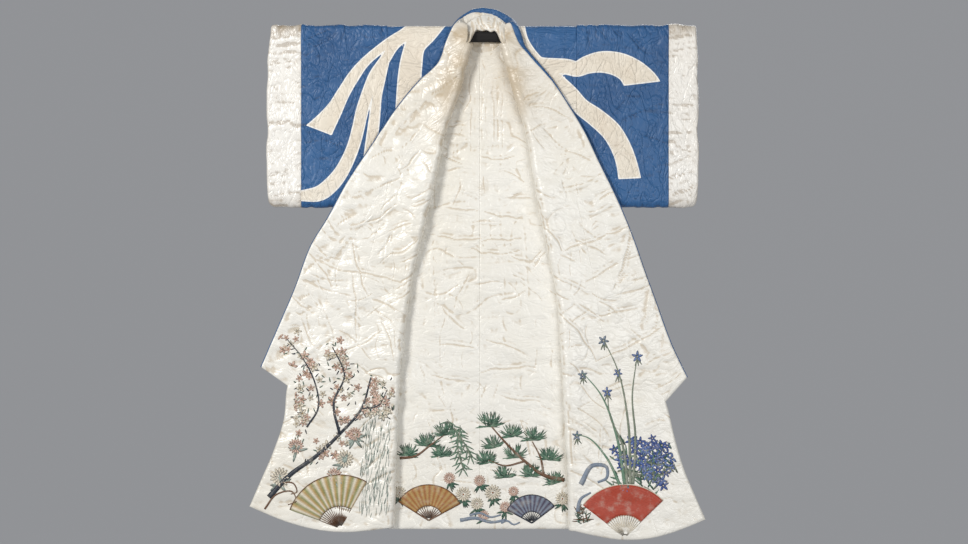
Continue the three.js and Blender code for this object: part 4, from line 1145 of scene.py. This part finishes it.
def weave_group():
    """The satin's threads and the cloth's small unevenness, in lengths of cloth: a height and a mask of slubs."""
    group, given, out = node_group("satin_weave", [("Cloth", "Vector", (0, 0, 0)), ("Threads", "Float", 900.0)],
                                   [("Height", "Float"), ("Slubs", "Float")])
    m = Maker(group)
    scaled = m.add("VectorMath", {"operation": "SCALE"}, i0=given.outputs["Cloth"])
    m.set(scaled.inputs[3], given.outputs["Threads"])
    stretched = m.add("Mapping", None, Vector=scaled.outputs[0], Scale=(1.0, 0.18, 1.0))
    threads = m.noise(stretched.outputs[0], 1.0, 2.0, 0.6)
    slub_place = m.add("Mapping", None, Vector=given.outputs["Cloth"], Scale=(6.0, 90.0, 1.0))
    slubs = m.ramp(m.noise(slub_place.outputs[0], 3.0, 3.0, 0.6), 0.52, 0.78)
    crepe = m.noise(given.outputs["Cloth"], 160.0, 3.0, 0.55)
    height = m.math("MULTIPLY_ADD", crepe, 1.6, m.math("MULTIPLY", threads, 0.5))
    m.set(out.inputs["Height"], m.math("MULTIPLY_ADD", slubs, 0.35, height))
    m.set(out.inputs["Slubs"], slubs)
    return group


def age_group():
    """Yellowing and faint stains of old silk, as masks in the object's space."""
    group, given, out = node_group("old_silk", [("Place", "Vector", (0, 0, 0))],
                                   [("Yellowing", "Float"), ("Stains", "Float")])
    m = Maker(group)
    broad = m.noise(given.outputs["Place"], 2.3, 4.0, 0.55, 0.3)
    m.set(out.inputs["Yellowing"], m.ramp(broad, 0.38, 0.70))
    spots = m.noise(given.outputs["Place"], 11.0, 5.0, 0.62, 0.6)
    m.set(out.inputs["Stains"], m.ramp(spots, 0.60, 0.78))
    return group


def crinkle_group():
    """Small sharp crinkles of satin between its folds, as a height in the cloth's own lengths."""
    group, given, out = node_group("satin_crinkles", [("Cloth", "Vector", (0, 0, 0)), ("Scale", "Float", 1.0)],
                                   [("Height", "Float")])
    m = Maker(group)
    scaled = m.add("VectorMath", {"operation": "SCALE"}, i0=given.outputs["Cloth"])
    m.set(scaled.inputs[3], given.outputs["Scale"])
    total = 0.0
    for turn, size, share in ((0.2, 22.0, 1.0), (-0.6, 34.0, 0.6), (1.2, 48.0, 0.4)):
        place = m.add("Mapping", None, Vector=scaled.outputs[0], Rotation=(0, 0, turn), Scale=(0.45, 0.8, 1.0))
        n = m.noise(place.outputs[0], size, 1.5, 0.4, 1.2)
        ridge = m.math("ABSOLUTE", m.math("SUBTRACT", n, 0.5))
        ridge = m.math("POWER", m.math("MULTIPLY", ridge, 2.0), 0.6)
        groove = m.ramp(ridge, 0.0, 0.34, 0.0, 1.0)
        total = m.math("MULTIPLY_ADD", groove, share, total)
    m.set(out.inputs["Height"], total)
    return group


WEAVE, AGE, CRINKLES = weave_group(), age_group(), crinkle_group()


def new_material(name, roughness, sheen, specular=0.5, coat=0.0):
    material = bpy.data.materials.new(name)
    material.use_nodes = True
    tree = material.node_tree
    shader = tree.nodes["Principled BSDF"]
    shader.inputs["Roughness"].default_value = roughness
    shader.inputs["Sheen Weight"].default_value = sheen
    shader.inputs["Sheen Roughness"].default_value = 0.35
    shader.inputs["Specular IOR Level"].default_value = specular
    shader.inputs["Coat Weight"].default_value = coat
    return material, Maker(tree), shader


def satin_material(name, pale, warm, stain, crinkle=1.0):
    material, m, shader = new_material(name, 0.34, 0.04, 0.75)
    places = m.add("TexCoord")
    cloth = m.add("Group", {"node_tree": WEAVE}, Cloth=places.outputs["UV"])
    age = m.add("Group", {"node_tree": AGE}, Place=places.outputs["Object"])
    crinkles = m.add("Group", {"node_tree": CRINKLES}, Cloth=places.outputs["UV"])
    # stain: the colour of stains and of the brown tint, and also of the painted shade in the creases
    colour = m.blend(m.math("MULTIPLY", age.outputs["Yellowing"], 0.45), pale, warm)
    # the brown tint carries stains and the browning near the neck's fold, and on the cuffs and the neck's loose lining
    # it also carries painted shade
    tinted_brown = m.math("MULTIPLY", m.add("Attribute", {"attribute_name": "brown_tint"}).outputs["Fac"], 0.74)
    colour = m.blend(tinted_brown, colour, stain)
    # painted shade: the satin is darkened towards its stain colour in the depth of its creases
    crease_shade = m.ramp(m.add("Attribute", {"attribute_name": "crease"}).outputs["Fac"], 0.12, 0.9, 0.0, 0.5)
    colour = m.blend(crease_shade, colour, stain)
    colour = m.blend(m.math("MULTIPLY", age.outputs["Stains"], 0.30), colour, stain)
    colour = m.blend(m.math("MULTIPLY", cloth.outputs["Slubs"], 0.12), colour, warm)
    m.set(shader.inputs["Base Color"], colour)
    m.set(shader.inputs["Roughness"], m.ramp(cloth.outputs["Height"], 0.4, 1.6, 0.27, 0.38))
    fold = m.add("Bump", None, Strength=0.55 * crinkle, Distance=0.0035, Height=crinkles.outputs["Height"])
    grain = m.add("Bump", None, Strength=0.18, Distance=0.0006, Height=cloth.outputs["Height"],
                  Normal=fold.outputs[0])
    m.set(shader.inputs["Normal"], grain.outputs[0])
    return material


def silk_material(name):
    """Blue silk with cream ribbons: each ribbon is the ground left undyed, edged with a fine white line."""
    material, m, shader = new_material(name, 0.46, 0.2, 0.45)
    places = m.add("TexCoord")
    cloth = m.add("Group", {"node_tree": WEAVE}, Cloth=places.outputs["UV"])
    age = m.add("Group", {"node_tree": AGE}, Place=places.outputs["Object"])
    crinkles = m.add("Group", {"node_tree": CRINKLES}, Cloth=places.outputs["UV"])
    blue = m.blend(age.outputs["Yellowing"], (0.029, 0.112, 0.275, 1), (0.0205, 0.080, 0.208, 1))
    blue = m.blend(m.math("MULTIPLY", cloth.outputs["Slubs"], 0.35), blue, (0.075, 0.165, 0.330, 1))
    # painted shade: the blue is darkened in the depth of its creases
    crease_shade = m.ramp(m.add("Attribute", {"attribute_name": "crease"}).outputs["Fac"], 0.2, 1.4, 0.0, 0.4)
    blue = m.blend(crease_shade, blue, (0.010, 0.026, 0.070, 1))
    inside = m.add("Attribute", {"attribute_name": "ribbon"}).outputs["Fac"]
    dots = m.add("TexVoronoi", {"feature": "F1"}, Vector=places.outputs["Object"], Scale=210.0, Randomness=0.15)
    dot = m.ramp(dots.outputs["Distance"], 0.12, 0.30, 1.0, 0.0)
    cream = m.blend(m.math("MULTIPLY", age.outputs["Yellowing"], 0.55), (0.82, 0.75, 0.635, 1), (0.70, 0.585, 0.445, 1))
    # painted shade: the ribbons' cream is darkened in the depth of its creases
    cream = m.blend(m.math("MULTIPLY", crease_shade, 0.8), cream, (0.42, 0.33, 0.23, 1))
    fading = m.ramp(m.noise(places.outputs["Object"], 19.0, 3.0, 0.6), 0.35, 0.72, 0.1, 0.62)
    patterned = m.blend(m.math("MULTIPLY", dot, fading), cream, (0.44, 0.28, 0.19, 1))
    line = m.math("MULTIPLY", m.ramp(inside, 0.0, 0.6), m.ramp(inside, 3.2, 4.2, 1.0, 0.0))
    patterned = m.blend(line, patterned, (0.90, 0.88, 0.83, 1))
    mask = m.ramp(inside, -0.4, 0.4)
    m.set(shader.inputs["Base Color"], m.blend(mask, blue, patterned))
    fold = m.add("Bump", None, Strength=0.6, Distance=0.0035, Height=crinkles.outputs["Height"])
    grain = m.add("Bump", None, Strength=0.2, Distance=0.0006, Height=cloth.outputs["Height"], Normal=fold.outputs[0])
    m.set(shader.inputs["Normal"], grain.outputs[0])
    return material


def lacquer_material():
    material, m, shader = new_material("black_lacquer", 0.3, 0.0, 0.3, 0.1)
    places = m.add("TexCoord")
    long_grain = m.add("Mapping", None, Vector=places.outputs["Object"], Scale=(2.0, 60.0, 60.0))
    grain = m.noise(long_grain.outputs[0], 4.0, 4.0, 0.6)
    m.set(shader.inputs["Base Color"], m.blend(grain, (0.004, 0.0037, 0.0035, 1), (0.011, 0.009, 0.008, 1)))
    m.set(shader.inputs["Roughness"], m.ramp(grain, 0.3, 0.7, 0.28, 0.42))
    bump = m.add("Bump", None, Strength=0.15, Distance=0.0005, Height=grain)
    m.set(shader.inputs["Normal"], bump.outputs[0])
    return material


# ---------------------------------------------------------------- embroidery at the hem

GREEN, DEEP_GREEN, GREY_GREEN = (0.15, 0.27, 0.18), (0.055, 0.135, 0.09), (0.22, 0.26, 0.19)
TEAL, BLACK_BLUE, BROWN = (0.36, 0.43, 0.38), (0.022, 0.030, 0.045), (0.155, 0.070, 0.032)
PINK, CREAM, OCHRE = (0.72, 0.50, 0.40), (0.80, 0.72, 0.58), (0.50, 0.33, 0.12)
BLUE, PALE_BLUE, MIST = (0.075, 0.125, 0.36), (0.16, 0.235, 0.47), (0.235, 0.285, 0.36)
RED, RUSSET, PLUM, OLIVE = (0.47, 0.062, 0.030), (0.36, 0.125, 0.028), (0.055, 0.035, 0.075), (0.28, 0.29, 0.11)
THREAD = 1.1               # how high the stitches stand, in millimetres


def lining_surface(panel, x, z):
    """Where the lining's face is, at distances across and heights: the back's, or a turned front's."""
    at = np.stack([x, np.zeros_like(x), z], axis=-1)
    if panel == "back":
        return silk_out(z) - WALL - back_lining_relief(at)
    sign = SIGNS[panel]
    rows = np.array(FRONTS[panel], float)[::-1]
    centre = np.interp(z, rows[:, FOLD_Z], rows[:, FOLD_X]) + WALL + ROLL
    u = sign * x
    settle = ease((u - centre) / ROLL_REACH)
    free = ease((u - HALF_WIDTH) / HALF_WIDTH) * ease((SLEEVE_DROP - 20 - z) / HALF_WIDTH)
    y = -silk_out(z) - mix(2 * ROLL, LYING, settle) + SLACK * free
    ways = np.broadcast_to([0.0, -1.0, 0.0], at.shape)
    return y - WALL - lining_relief(at, ways)


class Needlework:
    """One panel's embroidery: flat motifs in millimetres across and up, laid on the lining at the end."""

    patterns = {}

    def __init__(self, panel, seed):
        self.panel, self.random = panel, Random(seed)
        self.motifs, self.places, self.dyes = [], [], []

    def pattern(self, kind, *counts):
        """A small closed mesh that motifs of one kind are copies of, and its points."""
        key = (kind, *counts)
        if key not in self.patterns:
            bm = bmesh.new()
            if kind == "lens":
                bmesh.ops.create_uvsphere(bm, u_segments=counts[0], v_segments=2, radius=1.0)
            else:
                rows, columns = counts
                bmesh.ops.create_grid(bm, x_segments=columns - 1, y_segments=rows - 1, size=1.0)
                for v in bm.verts:
                    v.co = ((v.co.x + 1) / 2 * (columns - 1), (v.co.y + 1) / 2 * (rows - 1), 1)
                for v in bmesh.ops.extrude_face_region(bm, geom=bm.faces[:], use_keep_orig=True)["geom"]:
                    if isinstance(v, bmesh.types.BMVert):
                        v.co.z = 0
            bmesh.ops.recalc_face_normals(bm, faces=bm.faces[:])
            mesh = bpy.data.meshes.new("motif")
            bm.to_mesh(mesh)
            bm.free()
            self.patterns[key] = mesh, np.array([v.co for v in mesh.vertices])
        return self.patterns[key]

    def kept_in(self, places):
        """Whether points lie on the panel, clear of its roll, its edge and its hem."""
        x, z = places[:, 0], places[:, 2]
        if self.panel == "back":
            return (np.abs(x) < 286) & (z > BACK_LEVELS[-1] + 12)
        rows = np.array(FRONTS[self.panel], float)[::-1]
        ends = np.where(rows[:, EDGE_X] > 0, rows[:, EDGE_X], rows[:, SEAM_X])
        heights = np.where(rows[:, EDGE_X] > 0, rows[:, EDGE_Z], rows[:, SEAM_Z])
        u = SIGNS[self.panel] * x
        hem = rows[0]
        t = (u - hem[FOLD_X]) / (hem[SEAM_X] - hem[FOLD_X])
        lowest = mix(hem[FOLD_Z], hem[SEAM_Z], t) - hem[SAG] * np.sin(np.pi * np.clip(t, 0, 1))
        step = np.where((z > -1200) & (z < -1050), {"right": 600.0, "left": 562.0}[self.panel], 900.0)
        return ((u > np.interp(z, rows[:, FOLD_Z], rows[:, FOLD_X]) + 12) & (u < np.interp(z, heights, ends) - 16)
                & (z > lowest + 12) & (u < step))

    def sew(self, mesh, places, dye):
        if not self.kept_in(places).all():
            return
        self.motifs.append(mesh)
        self.places.append(places)
        self.dyes.append(np.broadcast_to(dye, (len(places), 3)))

    def lens(self, x, z, length, width, angle, dye, sides=8, tip=1.0):
        """A leaf or petal that starts at a point: a low closed pad, pinched to a tip."""
        mesh, points = self.pattern("lens", sides)
        a, b, h = points.T
        c, s = math.cos(math.radians(angle)), math.sin(math.radians(angle))
        reach = (a + 1) / 2 * length
        side = b * width / 2 * (1 - tip * 0.45 * (a + 1) / 2)
        shade = np.minimum(np.array(dye) * (1 + self.random.uniform(-0.12, 0.12)), 1)
        self.sew(mesh, np.stack([x + reach * c - side * s, THREAD * h, z + reach * s + side * c], axis=-1), shade)

    def pad(self, at, dye, shades=None, lift=None):
        """A closed pad from a grid of points (rows, columns, 2). shades: dyes for its columns by turns."""
        mesh, points = self.pattern("pad", *at.shape[:2])
        j, i, top = np.round(points.T).astype(int)
        high = np.where(top == 1, THREAD * 0.8 if lift is None else lift[i, j], -THREAD)
        dyes = np.array(shades)[j % len(shades)] if shades else dye
        self.sew(mesh, np.stack([at[i, j, 0], high, at[i, j, 1]], axis=-1), dyes)

    def stem(self, points, first, last, dye, step=9.0):
        """A tapered branch, blade or line along a smooth way through points."""
        points = np.array(points, float)
        knots = np.concatenate([[0.0], np.cumsum(np.linalg.norm(np.diff(points, axis=0), axis=1))])
        at = np.linspace(0, knots[-1], max(int(knots[-1] / step), 3) + 1)
        line = spline(points, knots, at)
        way = np.gradient(line, axis=0)
        side = np.stack([-way[:, 1], way[:, 0]], axis=-1) / np.linalg.norm(way, axis=-1, keepdims=True)
        width = mix(first, last, at / knots[-1])[:, None] / 2
        self.pad(np.stack([line - side * width, line + side * width], axis=1), dye)
        return line

    def flower(self, x, z, size, dye, heart=OCHRE, petals=5, turn=None, sharp=0.2):
        turn = self.random.uniform(0, 72) if turn is None else turn
        for k in range(petals):
            self.lens(x, z, size, size * 2.9 / petals, turn + 360 * k / petals, dye, 7, sharp)
        self.lens(x - size * 0.16, z, size * 0.32, size * 0.32, 0, heart, 6, 0.0)

    def chrysanthemum(self, x, z, size, dye, heart=OCHRE):
        for ring, count in ((1.0, 15), (0.66, 11), (0.38, 7)):
            for k in range(count):
                a = 360 * (k + ring) / count
                start = size * ring * 0.35
                self.lens(x + start * math.cos(math.radians(a)), z + start * math.sin(math.radians(a)),
                          size * ring * 0.65, size * 0.26 * ring + 1, a, dye, 6, 0.1)
        self.lens(x - size * 0.12, z, size * 0.24, size * 0.24, 0, heart, 6, 0.0)

    def fan(self, x, z, radius, start, stop, shades, rim, ribs=14):
        """An open folding fan: its pleated leaf, the slim ribs below it, and a line round its rim."""
        angles = np.radians(np.linspace(start, stop, 2 * ribs + 1))
        reach = np.linspace(0.42, 1.0, 12) * radius
        at = np.stack([x + reach[:, None] * np.cos(angles), z + reach[:, None] * np.sin(angles)], axis=-1)
        lift = np.where(np.arange(2 * ribs + 1) % 2, 0.5, 1.7)[None, :] * np.ones((12, 1))
        self.pad(at, None, shades, lift)
        for a in angles[::2]:
            c, s = math.cos(a), math.sin(a)
            self.lens(x + 4 * c, z + 4 * s, radius * 0.42, 3.4, math.degrees(a), rim, 6, -0.4)
        for share in (1.01, 0.42):
            arc = [(x + share * radius * math.cos(a), z + share * radius * math.sin(a)) for a in angles]
            self.stem(arc, 3.2, 3.2, rim, 8.0)
        for a in (angles[0], angles[-1]):
            c, s = math.cos(a), math.sin(a)
            self.stem([(x, z), (x + 0.5 * radius * c, z + 0.5 * radius * s), (x + 1.01 * radius * c,
                       z + 1.01 * radius * s)], 5.0, 4.0, rim)

    def needles(self, x, z, size, turn, dyes=(GREEN, DEEP_GREEN)):
        """A cushion of pine needles: strokes spread like a fan from a low middle."""
        for k in range(58):
            a = turn + self.random.uniform(-98, 98)
            long = size * (0.72 + 0.28 * math.cos(math.radians(a - turn))) * self.random.uniform(0.8, 1.0)
            off = self.random.uniform(-0.25, 0.25) * size
            self.lens(x + off, z, long, 4.6, 90 + a, dyes[k % 2], 5, 0.6)

    def done(self, material, name):
        """All motifs as one piece that lies on the lining and turns up and down with its folds."""
        bm = bmesh.new()
        for mesh in self.motifs:
            bm.from_mesh(mesh)
        piece = finished(name, bm, material)
        at, dyes = np.concatenate(self.places), np.concatenate(self.dyes)
        at[:, 1] = lining_surface(self.panel, at[:, 0], at[:, 2]) - at[:, 1] - 0.35
        piece.data.vertices.foreach_set("co", (at * MM).astype(np.float32).ravel())
        dye = piece.data.attributes.new("dye", "FLOAT_COLOR", "POINT")
        dye.data.foreach_set("color", np.column_stack([dyes, np.ones(len(dyes))]).astype(np.float32).ravel())
        piece.data.update()
        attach(piece, "root")
        return piece


def flowering_branches(work, lines, spread, flowers, leaves):
    """Blossoms and small dark leaves scattered along the outer parts of branches."""
    for line in lines:
        for k in range(flowers):
            x, z = line[work.random.randrange(len(line) // 3, len(line))]
            work.flower(x + work.random.uniform(-spread, spread), z + work.random.uniform(-spread, spread),
                        work.random.uniform(11, 18), PINK if k % 3 else CREAM)
        for k in range(leaves):
            x, z = line[work.random.randrange(len(line) // 3, len(line))]
            work.lens(x + work.random.uniform(-spread, spread) * 1.2, z + work.random.uniform(-spread, spread) * 1.2,
                      work.random.uniform(11, 19), 5.5, work.random.uniform(0, 360),
                      BLACK_BLUE if k % 2 else DEEP_GREEN, 6)


def embroider_right(material):
    """The picture on the wearer's right: a blossoming bough, a brushwood fence, a fan and chrysanthemums."""
    work = Needlework("right", 11)
    trunk = work.stem([(-676, -1462), (-610, -1392), (-524, -1330), (-452, -1262), (-382, -1180), (-352, -1082)],
                      17, 4, BLACK_BLUE)
    branches = [
        work.stem([(-524, -1330), (-556, -1240), (-606, -1168), (-588, -1098)], 10, 3, BLACK_BLUE),
        work.stem([(-452, -1262), (-470, -1160), (-436, -1076), (-474, -986)], 9, 3, BLACK_BLUE),
        work.stem([(-556, -1240), (-520, -1180), (-530, -1100), (-572, -1018), (-620, -960)], 6, 2.5, BLACK_BLUE),
        work.stem([(-382, -1180), (-330, -1172), (-300, -1120)], 5, 2, BLACK_BLUE),
    ]
    flowering_branches(work, branches + [trunk], 36, 22, 30)
    for _ in range(230):                         # a brushwood fence in fine upright strokes
        x = work.random.uniform(-388, -292)
        top = -1190 - abs(x + 330) * 1.3
        z = work.random.uniform(-1530, top)
        work.lens(x, z, work.random.uniform(22, 44), 2.2, 82 + work.random.uniform(-9, 9), TEAL, 5, 0.3)
    work.fan(-450, -1560, 168, 60, 160, [OCHRE, CREAM, OLIVE], BROWN, 16)
    for points in ([(-690, -1500), (-650, -1452), (-600, -1446), (-590, -1476), (-616, -1486)],
                   [(-660, -1440), (-640, -1420), (-596, -1420), (-588, -1446), (-606, -1452)],
                   [(-672, -1538), (-610, -1556), (-560, -1540)]):
        work.stem(points, 6, 3, BROWN, 6)
    for x, z, size in ((-640, -1400, 34), (-590, -1300, 26), (-436, -1340, 30), (-404, -1262, 24), (-468, -1392, 26)):
        work.chrysanthemum(x, z, size, CREAM if size > 28 else PINK)
        for _ in range(6):
            work.lens(x, z - size * 0.6, work.random.uniform(28, 42), 13, work.random.uniform(0, 360), TEAL, 8)
    return work.done(material, "embroidery_right")


def embroider_left(material):
    """The picture on the wearer's left: tall flowering stalks over a mound of leaves."""
    work = Needlework("left", 23)
    blades = [
        [(452, -1420), (424, -1260), (372, -1130), (318, -1066)],
        [(470, -1420), (462, -1220), (430, -1060), (384, -960)],
        [(486, -1410), (500, -1230), (530, -1080), (596, -964)],
        [(500, -1410), (540, -1270), (600, -1170), (650, -1130)],
        [(440, -1430), (390, -1330), (330, -1270), (296, -1262)],
        [(478, -1420), (486, -1280), (476, -1140), (492, -1010)],
        [(512, -1420), (566, -1330), (616, -1290), (654, -1286)],
        [(460, -1430), (446, -1300), (404, -1200), (396, -1120)],
        [(494, -1420), (520, -1320), (566, -1220), (574, -1130)],
    ]
    for k, blade in enumerate(blades):
        work.stem(blade, 11 - k % 3, 2.0, GREY_GREEN if k % 2 else GREEN)
    for x, z, size in ((384, -966, 19), (492, -1016, 20), (592, -972, 17), (318, -1074, 17), (430, -1068, 16),
                       (396, -1128, 18), (572, -1136, 18), (648, -1136, 16), (300, -1266, 17), (650, -1290, 17)):
        work.flower(x, z, size, MIST if size % 2 else PALE_BLUE, CREAM, 5, None, 0.9)
        for k in range(3):
            work.lens(x, z - 8, 24, 6, 250 + 30 * k, GREY_GREEN, 6)
    for k in range(110):                         # leaves under the mound of bellflowers
        x = work.random.gauss(530, 56)
        z = work.random.gauss(-1376, 42)
        dye = (GREEN, GREY_GREEN, DEEP_GREEN)[k % 3]
        work.lens(x, z, work.random.uniform(24, 46), 8, work.random.uniform(10, 170), dye)
    for k in range(64):
        x, z = work.random.gauss(530, 52), work.random.gauss(-1346, 42)
        work.flower(x, z, work.random.uniform(15, 21), BLUE if k % 3 else PALE_BLUE, CREAM, 5, None, 1.0)
    work.fan(452, -1590, 168, 44, 142, [RED], CREAM, 15)
    for points, width in (([(312, -1420), (352, -1360), (394, -1366), (394, -1400), (366, -1414)], 17),
                          ([(302, -1506), (312, -1466), (344, -1446)], 13),
                          ([(640, -1412), (676, -1384), (700, -1412), (682, -1440), (660, -1428)], 12)):
        work.stem(points, width, width * 0.4, MIST, 6)
    for k in range(46):
        x, z = work.random.uniform(296, 336), work.random.uniform(-1548, -1500)
        work.lens(x, z, work.random.uniform(16, 30), 5, work.random.uniform(0, 180), DEEP_GREEN if k % 2 else BROWN, 6)
    return work.done(material, "embroidery_left")


def embroider_back(material):
    """The picture on the back's lining."""
    work = Needlework("back", 37)
    work.stem([(262, -1410), (200, -1396), (136, -1350), (74, -1290), (30, -1240)], 13, 4, BROWN)
    work.stem([(196, -1394), (186, -1340), (160, -1288)], 8, 3, BROWN)
    work.stem([(136, -1350), (70, -1364), (20, -1346)], 7, 3, BROWN)
    work.stem([(-262, -1340), (-214, -1334), (-166, -1300), (-120, -1266)], 9, 3, BROWN)
    for x, z, size in ((26, -1240, 56), (96, -1272, 50), (164, -1282, 50), (36, -1306, 46), (104, -1338, 52),
                       (214, -1346, 52), (16, -1356, 50), (156, -1398, 50), (228, -1420, 48), (70, -1402, 46),
                       (-118, -1266, 48), (-176, -1302, 52), (-236, -1332, 46), (-128, -1334, 44)):
        work.needles(x, z, size, work.random.uniform(-14, 14))
    for stalk in ([(-34, -1340), (-70, -1270), (-112, -1216)], [(-58, -1380), (-76, -1320), (-70, -1236)]):
        line = work.stem(stalk, 4, 2, GREY_GREEN)
        for x, z in line[1::2]:
            for a in (-66, -24, 204, 246):
                work.lens(x, z, 34, 6.5, a + work.random.uniform(-14, 14), GREEN, 6)
    work.fan(-170, -1538, 112, 28, 148, [RUSSET, OCHRE], BROWN, 12)
    work.fan(158, -1546, 88, 36, 152, [PLUM, MIST], BLACK_BLUE, 10)
    for x, z, size in ((-60, -1456, 26), (-16, -1486, 22), (34, -1450, 28), (74, -1496, 20), (-104, -1404, 20),
                       (-8, -1412, 20), (256, -1470, 24), (-262, -1450, 22), (100, -1446, 18), (4, -1524, 20)):
        work.chrysanthemum(x, z, size, CREAM if size > 20 else PINK, RUSSET)
        for _ in range(7):
            work.lens(x, z - size * 0.7, work.random.uniform(20, 34), 9, work.random.uniform(180, 360), DEEP_GREEN, 7)
    for z, x0, x1, width in ((-1538, -70, 76, 12), (-1522, -40, 60, 8), (-1548, -110, 20, 8), (-1546, 60, 120, 7)):
        wave = [(x0, z), ((2 * x0 + x1) / 3, z + 7), ((x0 + 2 * x1) / 3, z - 6), (x1, z + 2)]
        work.stem(wave, width, width * 0.6, MIST)
    return work.done(material, "embroidery_back")


def thread_material():
    """Floss of many colours: each motif's dye is the mesh's own, and the stitches run slantwise over it."""
    material, m, shader = new_material("embroidery_floss", 0.5, 0.15, 0.45)
    places = m.add("TexCoord")
    dye = m.add("Attribute", {"attribute_name": "dye"}).outputs["Color"]
    slant = m.add("Mapping", None, Vector=places.outputs["Object"], Rotation=(0, 0.7, 0), Scale=(120.0, 120.0, 900.0))
    stitches = m.noise(slant.outputs[0], 1.0, 2.0, 0.6)
    faded = m.noise(places.outputs["Object"], 38.0, 3.0, 0.6)
    colour = m.blend(m.ramp(faded, 0.45, 0.85, 0.0, 0.5), dye, (0.66, 0.60, 0.50, 1))
    colour = m.blend(m.ramp(stitches, 0.3, 0.8, 0.0, 0.35), colour, (0.05, 0.045, 0.04, 1), "MULTIPLY")
    m.set(shader.inputs["Base Color"], colour)
    m.set(shader.inputs["Roughness"], m.ramp(stitches, 0.2, 0.8, 0.42, 0.6))
    bump = m.add("Bump", None, Strength=0.4, Distance=0.0006, Height=stitches)
    m.set(shader.inputs["Normal"], bump.outputs[0])
    return material


# ---------------------------------------------------------------- studio


def studio():
    """A pale floor that curves up into a far backdrop, soft lights and a long lens."""
    material, _, shader = new_material("studio_paper", 0.9, 0.0, 0.2)
    shader.inputs["Base Color"].default_value = (0.10, 0.102, 0.106, 1)
    shader.inputs["Emission Color"].default_value = (0.245, 0.25, 0.262, 1)
    shader.inputs["Emission Strength"].default_value = 1.03
    bm = bmesh.new()
    bmesh.ops.create_grid(bm, x_segments=4, y_segments=60, size=1.0)
    depth, height, bend, near = 15.0, 18.0, 4.0, -18.0
    floor = -3.4
    for v in bm.verts:
        s = (v.co.y + 1) / 2
        length = (depth - bend - near) + bend * math.pi / 2 + height
        d = s * length
        flat = depth - bend - near
        if d < flat:
            y, z = near + d, floor
        elif d < flat + bend * math.pi / 2:
            a = (d - flat) / bend
            y, z = depth - bend + bend * math.sin(a), floor + bend * (1 - math.cos(a))
        else:
            y, z = depth, floor + bend + (d - flat - bend * math.pi / 2)
        v.co = (v.co.x * 22.0, y, z)
    paper = finished("studio_floor", bm, material)

    camera = bpy.data.objects.new("camera", bpy.data.cameras.new("camera"))
    bpy.context.scene.collection.objects.link(camera)
    camera.data.lens, camera.data.sensor_width = 85.0, 36.0
    camera.location = (0.006, -7.27, -0.748)
    camera.rotation_euler = (math.pi / 2, 0, 0)
    camera.data.clip_end = 100.0
    bpy.context.scene.camera = camera

    def area(name, place, aim, size, power, colour=(1, 1, 1)):
        light = bpy.data.lights.new(name, "AREA")
        light.shape, light.size, light.size_y = "RECTANGLE", size[0], size[1]
        light.energy, light.color = power, colour
        lamp = bpy.data.objects.new(name, light)
        lamp.location = place
        lamp.rotation_euler = (Vector(aim) - Vector(place)).to_track_quat("-Z", "Y").to_euler()
        bpy.context.scene.collection.objects.link(lamp)

    area("key", (-3.2, -4.7, 1.3), (0.1, 0, -0.8), (1.3, 1.3), 226, (1.0, 0.99, 0.97))
    area("fill", (2.8, -6.3, -0.5), (0, 0, -0.8), (3.0, 3.0), 142, (0.98, 0.99, 1.0))
    area("behind", (1.5, 5.5, 2.0), (0, 0, -0.8), (4.0, 4.0), 210)
    world = bpy.data.worlds.new("studio_air")
    world.use_nodes = True
    world.node_tree.nodes["Background"].inputs["Color"].default_value = (0.86, 0.88, 0.90, 1)
    world.node_tree.nodes["Background"].inputs["Strength"].default_value = 0.26
    bpy.context.scene.world = world
    bpy.context.scene.view_settings.view_transform = "Standard"


# ---------------------------------------------------------------- the robe

# the satin's third colour is its stains' and browning's colour, and also the painted shade in its creases
PALE, WARM, STAIN_AND_SHADE = (0.87, 0.84, 0.77, 1), (0.82, 0.765, 0.65, 1), (0.50, 0.38, 0.23, 1)
satin = satin_material("ivory_satin", PALE, WARM, STAIN_AND_SHADE, 0.42)
# the cuff's third colour is its stains' and browning's colour, and also the painted shade in its creases
CUFF_PALE, CUFF_WARM, CUFF_STAIN_AND_SHADE = (0.87, 0.84, 0.785, 1), (0.82, 0.76, 0.67, 1), (0.30, 0.22, 0.13, 1)
cuff_satin = satin_material("cream_cuff_satin", CUFF_PALE, CUFF_WARM, CUFF_STAIN_AND_SHADE, 0.8)
silk = silk_material("blue_silk_with_ribbons")

floss = thread_material()
embroider_left(floss)
embroider_right(floss)
embroider_back(floss)

for side in SIGNS:
    back_pieces(side, silk, satin)
    front_pieces(side, silk, satin)
    overlap_pieces(side, silk, satin)
    sleeve_pieces(side, silk, cuff_satin)
collar_pieces(silk, satin)
neck_pieces(satin)

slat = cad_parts["slat"]
slat.data.materials.clear()
slat.data.materials.append(lacquer_material())

studio()
